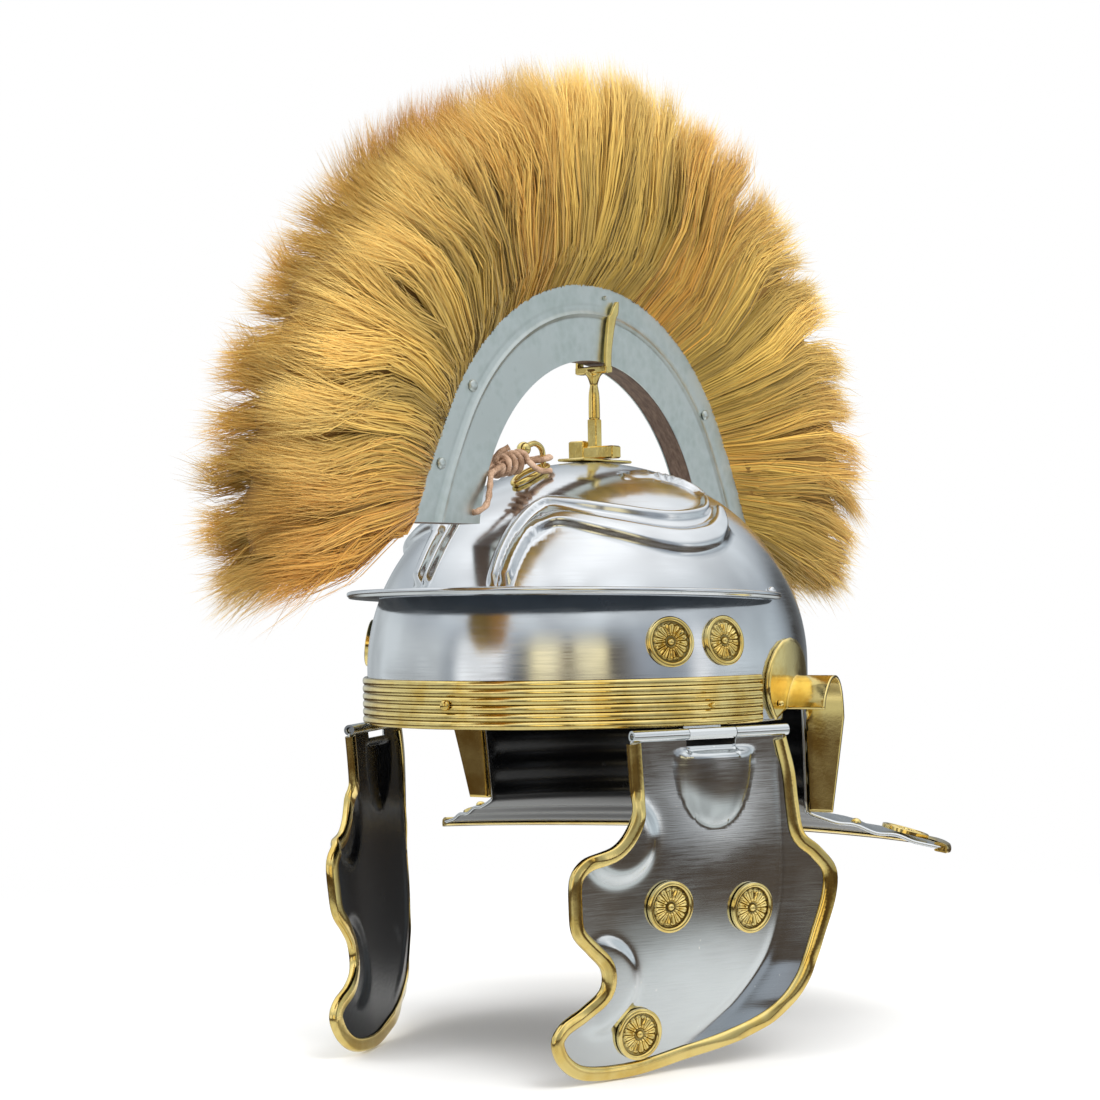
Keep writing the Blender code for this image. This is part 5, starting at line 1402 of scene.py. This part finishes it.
@dataclass
class Plume:
    """Fan of dyed hair set in the crest box: an under-layer darkened as painted shade, and four bundles of tapered
    hairs.
    """

    crest: CrestBox
    fur: bpy.types.Material
    under: bpy.types.Material
    reach: float = 0.110
    half_width: float = 0.029
    spread: float = 1.11
    hair_width: float = 0.00064
    segments: int = 5

    # Share of the fan, reach and fullness
    ROWS = ((-1.00, 1.10, 0.95), (-0.80, 1.13, 1.06), (-0.55, 1.02, 1.10), (-0.28, 0.95, 1.15), (0.00, 0.96, 1.12),
            (0.30, 1.02, 1.05), (0.60, 1.09, 1.04), (0.85, 1.09, 1.00), (1.00, 0.94, 0.80))
    # Share of a hair's length and of the fan's full half width there
    SWELL = ((0.0, 0.0), (0.03, 0.25), (0.35, 0.72), (0.7, 0.98), (0.93, 0.84), (1.0, 0.55))

    def spine(self, share: Array, length: Array, along: Array, lean: Array) -> Array:
        """Place on the fan's middle sheet: the straight line from the box's mouth to the tip.

        Args:
            share: place round the fan from -1 at the front to 1 at the back.
            length: share of the full reach.
            along: how far along the hair.
            lean: change of the tip's angle, radians.
        """
        rows = np.array(self.ROWS)
        reach = self.reach * np.interp(share, rows[:, 0], rows[:, 1])
        inside = np.clip(share, -1.0, 1.0) * 0.988
        root = self.crest.arch(inside, 1.0 - 0.0022 / (self.crest.outer - self.crest.inner), 0.0)
        foot = math.acos((self.crest.foot - self.crest.height) / self.crest.outer)
        angle = share * foot * self.spread + lean
        ray = np.stack([np.zeros_like(angle), np.sin(angle), np.cos(angle)], axis=-1)
        tip = np.array([0.0, 0.0, self.crest.height]) + ray * (self.crest.outer + reach * length)[..., None]
        return root + (tip - root) * along[..., None]

    def half(self, share: Array, along: Array) -> Array:
        """Half width of the fan at a place along a hair."""
        rows, swell = np.array(self.ROWS), np.array(self.SWELL)
        full = self.half_width * np.interp(share, rows[:, 0], rows[:, 2])
        inner = self.crest.core / 2 - GAP
        return inner + (full - inner) * np.interp(along, swell[:, 0], swell[:, 1])

    def sway(self, share: Array, side: Array, along: Array) -> Array:
        """Sideways way in metres by which hairs bend together round the fan: slow waves that change along
        the hair, so that it runs in a long S."""
        broad = ripple(np.stack([share * 3.0, side * 0.5, along * 1.7], axis=-1), 11, 1.9)
        fine = ripple(np.stack([share * 9.0, side * 1.5, along * 2.2], axis=-1), 12, 1.8)
        calm = 1.0 - 0.85 * np.clip(np.abs(share), 0.0, 1.0) ** 9
        return (0.0100 * broad + 0.0060 * fine) * calm * np.clip(along * 1.5, 0.0, 1.0) ** 1.4

    def hairs(self, seed: int, count: int, low: float, high: float, side: float, skin_share: float) -> Shape:
        """Bundle of hairs, each a ribbon that tapers to its tip.

        A ribbon's points are its middle line plus and minus half its width across it. Hairs gather into
        locks: the place of each tip moves towards its lock's own, by the square of the way along.

        Args:
            seed: seed of the bundle.
            count: count of hairs.
            low: lowest share of the fan.
            high: highest share of the fan.
            side: sign of X of the flank that the outer hairs cover.
            skin_share: share of hairs that lie in the outer layer.
        """
        rng = np.random.default_rng(seed)
        share = rng.uniform(low, high, count)
        outer = rng.random(count) < skin_share
        lateral = np.where(outer, side * rng.uniform(0.80, 1.04, count), side * rng.uniform(-0.15, 0.95, count))
        closing = rng.random(count) < 0.07
        end = np.where(abs(low) > high, -1.0, 1.0)
        share = np.where(closing, end * (1.0 + 0.012 * np.abs(rng.standard_normal(count))), share)
        lateral = np.where(closing, rng.uniform(-1.0, 1.0, count), lateral)
        lock_count = 120
        lock_share = rng.uniform(low, high, lock_count)
        lock_side = side * rng.uniform(0.25, 1.05, lock_count)
        distance = np.abs(share[:, None] - lock_share) * 7.0 + np.abs(lateral[:, None] - lock_side) * 0.7
        lock = distance.argmin(axis=1)
        pull = np.where(closing, 0.0, rng.uniform(0.20, 0.85, count))
        long_ones = rng.beta(5.0, 1.3, count) * 0.50 + 0.53
        length = np.where(outer & (rng.random(count) < 0.45), rng.beta(3.0, 1.6, count) * 0.62 + 0.38, long_ones)
        length *= 1.0 + 0.02 * rng.standard_normal(lock_count)[lock]
        wander = rng.normal(0.0, 0.0036, count) + rng.normal(0.0, 0.0062, lock_count)[lock]
        wander = wander * np.where(np.abs(share) > 0.95, 0.35, 1.0)
        tip_curl = rng.normal(0.0, 0.0034, (2, count))
        splay = 1.0 + rng.normal(0.0, 0.05, count)
        t = np.linspace(0.0, 1.0, self.segments + 1)[None, :]
        way = t * np.clip(length, 0.3, 1.06)[:, None]
        s = share[:, None] + (lock_share[lock] - share)[:, None] * pull[:, None] * t**2
        q = lateral[:, None] + (lock_side[lock] - lateral)[:, None] * pull[:, None] * 0.4 * t**2
        middle = self.spine(s, np.ones_like(s), way, np.zeros_like(s))
        bend = self.sway(s, q, way)
        kink = rng.normal(0.0, 0.0034, lock_count)[lock][:, None] * np.sin(
            way * 7.0 + rng.uniform(0.0, 6.3, lock_count)[lock][:, None])
        last_part = np.clip((t - 0.6) / 0.4, 0.0, 1.0) ** 2
        bend = (bend + kink * np.clip(way * 2.0, 0.0, 1.0) + wander[:, None] * way**1.5
                + tip_curl[0][:, None] * last_part)
        foot = math.acos((self.crest.foot - self.crest.height) / self.crest.outer)
        angle = s * foot * self.spread
        middle[..., 1] += np.cos(angle) * bend
        middle[..., 2] -= np.sin(angle) * bend
        curl = ripple(np.stack([s * 14.0, q, way * 2.4], axis=-1), 46, 1.6)
        middle[..., 0] = (q * self.half(s, way) * splay[:, None] + 0.0022 * curl * way
                          + tip_curl[1][:, None] * last_part)
        along = unit(np.gradient(middle, axis=1))
        flank = np.stack([np.full(count, 1.0), rng.normal(0.0, 0.55, count), rng.normal(0.0, 0.55, count)], axis=-1)
        flank = np.where((outer & ~closing)[:, None], flank, rng.normal(size=(count, 3)))
        across = unit(np.cross(along, flank[:, None]))
        width = self.hair_width * rng.uniform(0.7, 1.3, count)[:, None] * (1.0 - 0.85 * t**2.0) / 2
        left, right = middle + across * width[..., None], middle - across * width[..., None]
        body = np.stack([left[:, :-1], right[:, :-1]], axis=2).reshape(count, -1, 3)
        points = np.concatenate([body, middle[:, -1:]], axis=1)
        per = points.shape[1]
        base = np.arange(count)[:, None] * per
        pair = np.arange(self.segments - 1)[None] * 2 + base
        strips = np.stack([pair, pair + 1, pair + 3, pair + 2], axis=-1).reshape(-1, 4)
        last = base[:, 0] + 2 * (self.segments - 1)
        tips = np.stack([last, last + 1, last + 2], axis=-1)
        # Painted shade: hairs nearer the fan's middle sheet are up to a fifth darker
        depth = 0.8 + 0.2 * np.clip(np.abs(lateral), 0.0, 1.0)
        tone = rng.normal(1.0, 0.12, count) + 0.09 * rng.standard_normal(lock_count)[lock]
        tone = np.clip(tone * depth, 0.4, 1.4)
        spots = np.stack([share * 5.0, lateral * 0.7], axis=-1)
        patch = np.clip(0.5 * ripple(spots, 31, 1.5) + rng.normal(0.0, 0.22, count), 0.0, 0.75)
        spread_out = np.concatenate([np.repeat(way[:, :-1], 2, axis=1), way[:, -1:]], axis=1)
        # Painted shadow at mid-length, in streaks across the fan
        shadow_streak = np.clip(0.35 + 0.8 * ripple(np.stack([share * 22.0, lateral * 1.5], axis=-1), 8, 1.5), 0.0, 1.0)
        shadow = 0.36 * shadow_streak[:, None] * np.exp(-(((spread_out - 0.42) / 0.24) ** 2))
        fade = np.concatenate([np.repeat(np.broadcast_to(t, way.shape)[:, :-1], 2, axis=1), np.ones((count, 1))],
                              axis=1)
        values = {"along": np.clip(0.6 * spread_out + 0.4 * fade**2, 0.0, 1.0).ravel(),
                  "shade": (tone[:, None] * (1.0 - shadow)).ravel(), "patch": np.repeat(patch, per)}
        return Shape(points.reshape(-1, 3), [strips, tips], values)

    def core(self) -> Shape:
        """Under-layer: rings across the fan, a little inside the hairs, rippled into locks; its dark colour stands
        for the shade inside the fan.
        """
        share = np.linspace(-0.972, 0.972, 260)
        turn = circle(48)
        along = 0.5 - 0.5 * np.cos(turn)
        flank = np.sign(np.sin(turn)) * np.minimum(1.0, np.abs(np.sin(turn)) * 1.6)
        s, a = np.broadcast_arrays(share[:, None], along[None])
        spots = np.stack([s * 20.0, np.broadcast_to(flank, s.shape), a * 2.0], axis=-1)
        locks = 1.0 + 0.07 * ripple(spots, 3, 1.6)
        points = self.spine(s, 0.80 * (1.0 + 0.4 * (locks - 1.0)), a, np.zeros_like(s))
        points[..., 0] = flank * self.half(s, a) * 0.78 * locks
        shape = loft(points)
        values = np.concatenate([np.broadcast_to(a, s.shape).ravel() * 0.75, [0.3, 0.3]])
        # Painted shade: the whole under-layer is darkened to 0.62
        shape.values = {"along": values, "shade": np.full(len(values), 0.62), "patch": np.full(len(values), 0.25)}
        return shape

    def build(self) -> None:
        """Build the under-layer and the hairs."""
        put("plume_core", self.core(), [self.under], Body.HELMET, ("plume",), sharp=70.0)
        count = 14000
        bundles = (("left_front", 1.0, -1.0, 0.06), ("left_back", 1.0, -0.06, 1.0),
                   ("right_front", -1.0, -1.0, 0.06), ("right_back", -1.0, -0.06, 1.0))
        for number, (name, side, low, high) in enumerate(bundles):
            put(f"plume_hair_{name}", self.hairs(41 + number, count, low, high, side, 0.62), [self.fur],
                Body.HELMET, ("plume",), sharp=None)


@dataclass
class Studio:
    """Plain pale floor, soft light and the camera at the photograph's angle."""

    floor_height: float
    middle: tuple[float, float, float] = (0.0, 0.0, 0.02)
    # Camera fitted to the photograph: place in degrees and metres, turns in degrees, focal length in pixels
    azimuth: float = 34.7
    distance: float = 1.1653
    height: float = 0.0559
    yaw: float = 35.6
    pitch: float = 1.3
    roll: float = -0.9
    focal_pixels: float = 2372.3
    photo_pixels: float = 1100.0
    sensor_mm: float = 36.0
    # Where the floor starts to thin out and where it ends, metres from its middle
    floor_fade: tuple[float, float] = (0.30, 0.80)
    table_fade: tuple[float, float] = (0.27, 0.43)
    table_middle: tuple[float, float, float] = (0.0, 0.1, 0.0)

    # Name, azimuth and elevation in degrees, distance, width and height in metres, and watts
    LIGHTS = (("key", 70.0, 38.0, 1.6, 0.9, 0.9, 14.0), ("fill", -50.0, 25.0, 1.8, 0.9, 0.8, 8.0),
              ("top", 20.0, 78.0, 1.4, 1.1, 1.1, 4.0), ("back", 190.0, 40.0, 1.8, 1.2, 0.8, 8.0))

    # Rise of a direction, from straight down at -1 to straight up at 1, and colour of the room there
    LEVELS = ((-1.0, "#C8CBC9"), (-0.36, "#B4B8B6"), (-0.25, "#4E443A"), (-0.10, "#443B32"), (0.0, "#6E6A66"),
              (0.2, "#9CA2A8"), (0.35, "#A9AFB4"), (0.55, "#D2D6D9"), (0.8, "#F8F9FA"), (1.0, "#FFFFFF"))
    # Azimuth round the room, from the front towards the wearer's left, and colour of the walls there
    WALLS = ((-180.0, "#3C3A38"), (-140.0, "#8A9094"), (-112.0, "#BCC1C3"), (-45.0, "#C4C8C9"), (-34.0, "#9BA1A6"),
             (-26.0, "#F4F5F5"), (-4.0, "#FFFFFF"), (5.0, "#70747A"), (13.0, "#6A6A68"), (18.0, "#F1E2B4"),
             (30.0, "#F5E7BE"), (33.0, "#5C5040"), (37.0, "#5C5040"), (40.0, "#F5E7BE"), (54.0, "#EFE0B2"),
             (57.0, "#5C564E"), (63.0, "#66625C"), (72.0, "#8E9298"), (84.0, "#8F969D"), (96.0, "#A2A8AE"),
             (104.0, "#FFFFFF"), (112.0, "#C2C8CC"), (140.0, "#BAC2C6"), (165.0, "#9AA2A8"), (176.0, "#3C3A38"))

    def camera(self) -> None:
        """Camera from its fitted place and angles: forward tilted by the pitch, turned by the yaw and rolled."""
        azimuth, yaw, pitch, roll = (math.radians(angle) for angle in (self.azimuth, self.yaw, self.pitch, self.roll))
        place = Vector((self.distance * math.sin(azimuth), -self.distance * math.cos(azimuth),
                        self.height - SEAT_HEIGHT))
        level, side, up = (Vector((-math.sin(yaw), math.cos(yaw), 0.0)),
                           Vector((math.cos(yaw), math.sin(yaw), 0.0)), Vector((0.0, 0.0, 1.0)))
        ahead = math.cos(pitch) * level + math.sin(pitch) * up
        above = math.cos(pitch) * up - math.sin(pitch) * level
        right = math.cos(roll) * side + math.sin(roll) * above
        over = math.cos(roll) * above - math.sin(roll) * side
        data = bpy.data.cameras.new("camera")
        data.sensor_width = self.sensor_mm
        data.lens = self.sensor_mm * self.focal_pixels / self.photo_pixels
        data.dof.use_dof = False
        data.clip_start, data.clip_end = 0.01, 50.0
        item = bpy.data.objects.new("camera", data)
        bpy.context.scene.collection.objects.link(item)
        item.matrix_world = Matrix((
            (right.x, over.x, -ahead.x, place.x), (right.y, over.y, -ahead.y, place.y),
            (right.z, over.z, -ahead.z, place.z), (0.0, 0.0, 0.0, 1.0)))
        bpy.context.scene.camera = item

    def floor(self) -> None:
        """Pale matt floor that thins out to nothing round the helmet: its cover falls from one to zero between
        two radii, closer in for polished metal, which then shows the dark floor beyond the table."""
        mesh = bpy.data.meshes.new("floor")
        half, z = 3.0, self.floor_height
        mesh.from_pydata([(-half, -half, z), (half, -half, z), (half, half, z), (-half, half, z)], [], [(0, 1, 2, 3)])
        pale = bpy.data.materials.new("floor_paper")
        pale.use_nodes = True
        tree = pale.node_tree
        shader = tree.nodes["Principled BSDF"]
        shader.inputs["Base Color"].default_value = linear("#F7F7F6")
        shader.inputs["Roughness"].default_value = 0.95
        shader.inputs["Specular IOR Level"].default_value = 0.1
        spot = add_node(tree, "ShaderNodeTexCoord").outputs["Object"]
        radius = add_node(tree, "ShaderNodeVectorMath", {"operation": "LENGTH"}, {0: spot})
        cover = add_range(tree, radius.outputs["Value"], self.floor_fade, (1.0, 0.0), "SMOOTHSTEP")
        aside = add_node(tree, "ShaderNodeVectorMath", {"operation": "DISTANCE", 1: self.table_middle}, {0: spot})
        table = add_range(tree, aside.outputs["Value"], self.table_fade, (1.0, 0.0), "SMOOTHSTEP")
        seen = add_node(tree, "ShaderNodeLightPath")
        either = add_node(tree, "ShaderNodeMix", {"data_type": "FLOAT"},
                          {0: seen.outputs["Is Glossy Ray"], 2: cover.outputs["Result"], 3: table.outputs["Result"]})
        tree.links.new(either.outputs[0], shader.inputs["Alpha"])
        mesh.materials.append(pale)
        item = bpy.data.objects.new("floor", mesh)
        bpy.context.scene.collection.objects.link(item)
        item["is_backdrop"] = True

    def light(self, name: str, azimuth: float, elevation: float, distance: float, width: float, height: float,
              power: float) -> None:
        """Rectangular soft light that faces the helmet and that neither the camera nor polished metal shows.

        Args:
            name: its name.
            azimuth: degrees from the front towards the wearer's left.
            elevation: degrees above the horizon.
            distance: metres from the helmet.
            width: metres.
            height: metres.
            power: watts.
        """
        turn, rise = math.radians(azimuth), math.radians(elevation)
        away = Vector((math.sin(turn) * math.cos(rise), -math.cos(turn) * math.cos(rise), math.sin(rise)))
        data = bpy.data.lights.new(name, "AREA")
        data.shape = "RECTANGLE"
        data.size, data.size_y = width, height
        data.energy = power
        item = bpy.data.objects.new(name, data)
        item.location = Vector(self.middle) + away * distance
        item.rotation_mode = "QUATERNION"
        item.rotation_quaternion = away.to_track_quat("Z", "Y")
        item.visible_camera = False
        item.visible_glossy = False
        bpy.context.scene.collection.objects.link(item)

    def world(self) -> None:
        """Even white light for matt surfaces, and for polished ones a pale room with windows, a warm lamp on
        each side of the camera, a white ceiling and a dark floor beyond the table."""
        world = bpy.data.worlds.new("studio")
        bpy.context.scene.world = world
        world.use_nodes = True
        tree = world.node_tree
        back = tree.nodes["Background"]
        way = add_node(tree, "ShaderNodeTexCoord").outputs["Generated"]
        rise = add_node(tree, "ShaderNodeSeparateXYZ", {}, {"Vector": way}).outputs["Z"]
        turned = add_node(tree, "ShaderNodeMapping", {"Rotation": (0.0, 0.0, 0.5 * math.pi)}, {"Vector": way})
        around = add_node(tree, "ShaderNodeTexGradient", {"gradient_type": "RADIAL"},
                          {"Vector": turned.outputs["Vector"]})
        walls = add_ramp(tree, around.outputs["Fac"], [((azimuth + 180.0) / 360.0, code)
                                                       for azimuth, code in self.WALLS])
        height = add_range(tree, rise, (-1.0, 1.0), (0.0, 1.0))
        column = add_ramp(tree, height.outputs["Result"], [((level + 1.0) / 2.0, code)
                                                           for level, code in self.LEVELS])
        above = add_range(tree, rise, (0.42, 0.16), (0.0, 1.0), "SMOOTHSTEP")
        below = add_range(tree, rise, (-0.11, -0.05), (0.0, 1.0), "SMOOTHSTEP")
        wall = add_node(tree, "ShaderNodeMath", {"operation": "MULTIPLY"},
                        {0: above.outputs["Result"], 1: below.outputs["Result"]})
        whole = add_node(tree, "ShaderNodeMix", {"data_type": "RGBA"},
                         {0: wall.outputs["Value"], 6: column.outputs["Color"], 7: walls.outputs["Color"]})
        room = add_noise(tree, way, 2.6, 2.0)
        patches = add_range(tree, room.outputs["Fac"], (0.35, 0.65), (1.05, 1.55))
        seen = add_node(tree, "ShaderNodeLightPath")
        lit = add_node(tree, "ShaderNodeMix", {"data_type": "RGBA"},
                       {0: seen.outputs["Is Glossy Ray"], 7: whole.outputs[2]})
        lit.inputs[6].default_value = (1.0, 1.0, 1.0, 1.0)
        strength = add_node(tree, "ShaderNodeMix", {"data_type": "FLOAT", 2: 1.0},
                            {0: seen.outputs["Is Glossy Ray"], 3: patches.outputs["Result"]})
        tree.links.new(lit.outputs[2], back.inputs["Color"])
        tree.links.new(strength.outputs[0], back.inputs["Strength"])

    def build(self) -> None:
        """Build the camera, the floor and the lights."""
        bpy.context.scene.view_settings.view_transform = "Standard"
        self.camera()
        self.floor()
        self.world()
        for row in self.LIGHTS:
            self.light(*row)


def main() -> None:
    """Build the studio and the helmet's pieces in order."""
    logging.basicConfig(level=logging.INFO, format="%(message)s")
    cad_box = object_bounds()
    Studio(floor_height=float(cad_box[0].z) - 0.0005).build()
    steel = PolishedSteel("polished_steel", "#D6D9DC", 0.155).make()
    cheek_steel = PolishedSteel("polished_steel_cheek", "#D3D7D9", 0.13, mark_spacing_mm=0.6, specks="#F4F2EC",
                                speck_share=0.2).make()
    # Dark, rough steel for the brow guard's underside, a painted shade
    shaded_underside_steel = PolishedSteel("unpolished_steel", "#3F4650", 0.35).make()
    band_brass = Brass("polished_brass_pressed", "#F3DC92", 0.11, has_hollow_shade=True).make()
    cast_brass = Brass("polished_brass_cast", "#F0D88C", 0.13, bump=0.12, has_hollow_shade=True).make()
    trim_brass = Brass("polished_brass_sheet", "#EFD68A", 0.12).make()
    zinc = Galvanised("galvanised_steel", "#C7D0CA", 0.36).make()
    paint = Paint("black_semi_gloss_paint", "#0E0F11", 0.26).make()
    wood = Wood("stained_softwood", "#5E4A3E", 0.65).make()
    leather = Leather("leather_lace", "#C9A78C", 0.75).make()
    fur = Fur("dyed_hair", "#D9A856", 0.55).make()
    # Darker copy of the hair material for the under-layer, a painted shade
    under = Fur("dyed_hair_under", "#8A6A30", 0.8,
                stops=((0.0, "#6B5224"), (0.5, "#957436"), (1.0, "#C09A4A"))).make()

    skull = Skull()
    bowl = Bowl(skull, steel, paint)
    bowl.build()
    bowl.build_edging(trim_brass)
    BrowBand(skull, band_brass).build()
    BrowGuard(skull, steel, shaded_underside_steel).build()
    crest = CrestBox(wood, zinc)
    for side in Side:
        EarGuard(skull, bowl, band_brass).build(side)
        CheekGuard(cheek_steel, paint, trim_brass).build(side)
    Fasteners(band_brass, steel, zinc).build()
    crest.build()
    CrestHolder(crest, skull, cast_brass).build()
    hook = FrontHook(skull, cast_brass)
    hook.build()
    Lace(skull, crest, hook, leather).build()
    Plume(crest, fur, under).build()


if __name__ == "__main__":
    main()
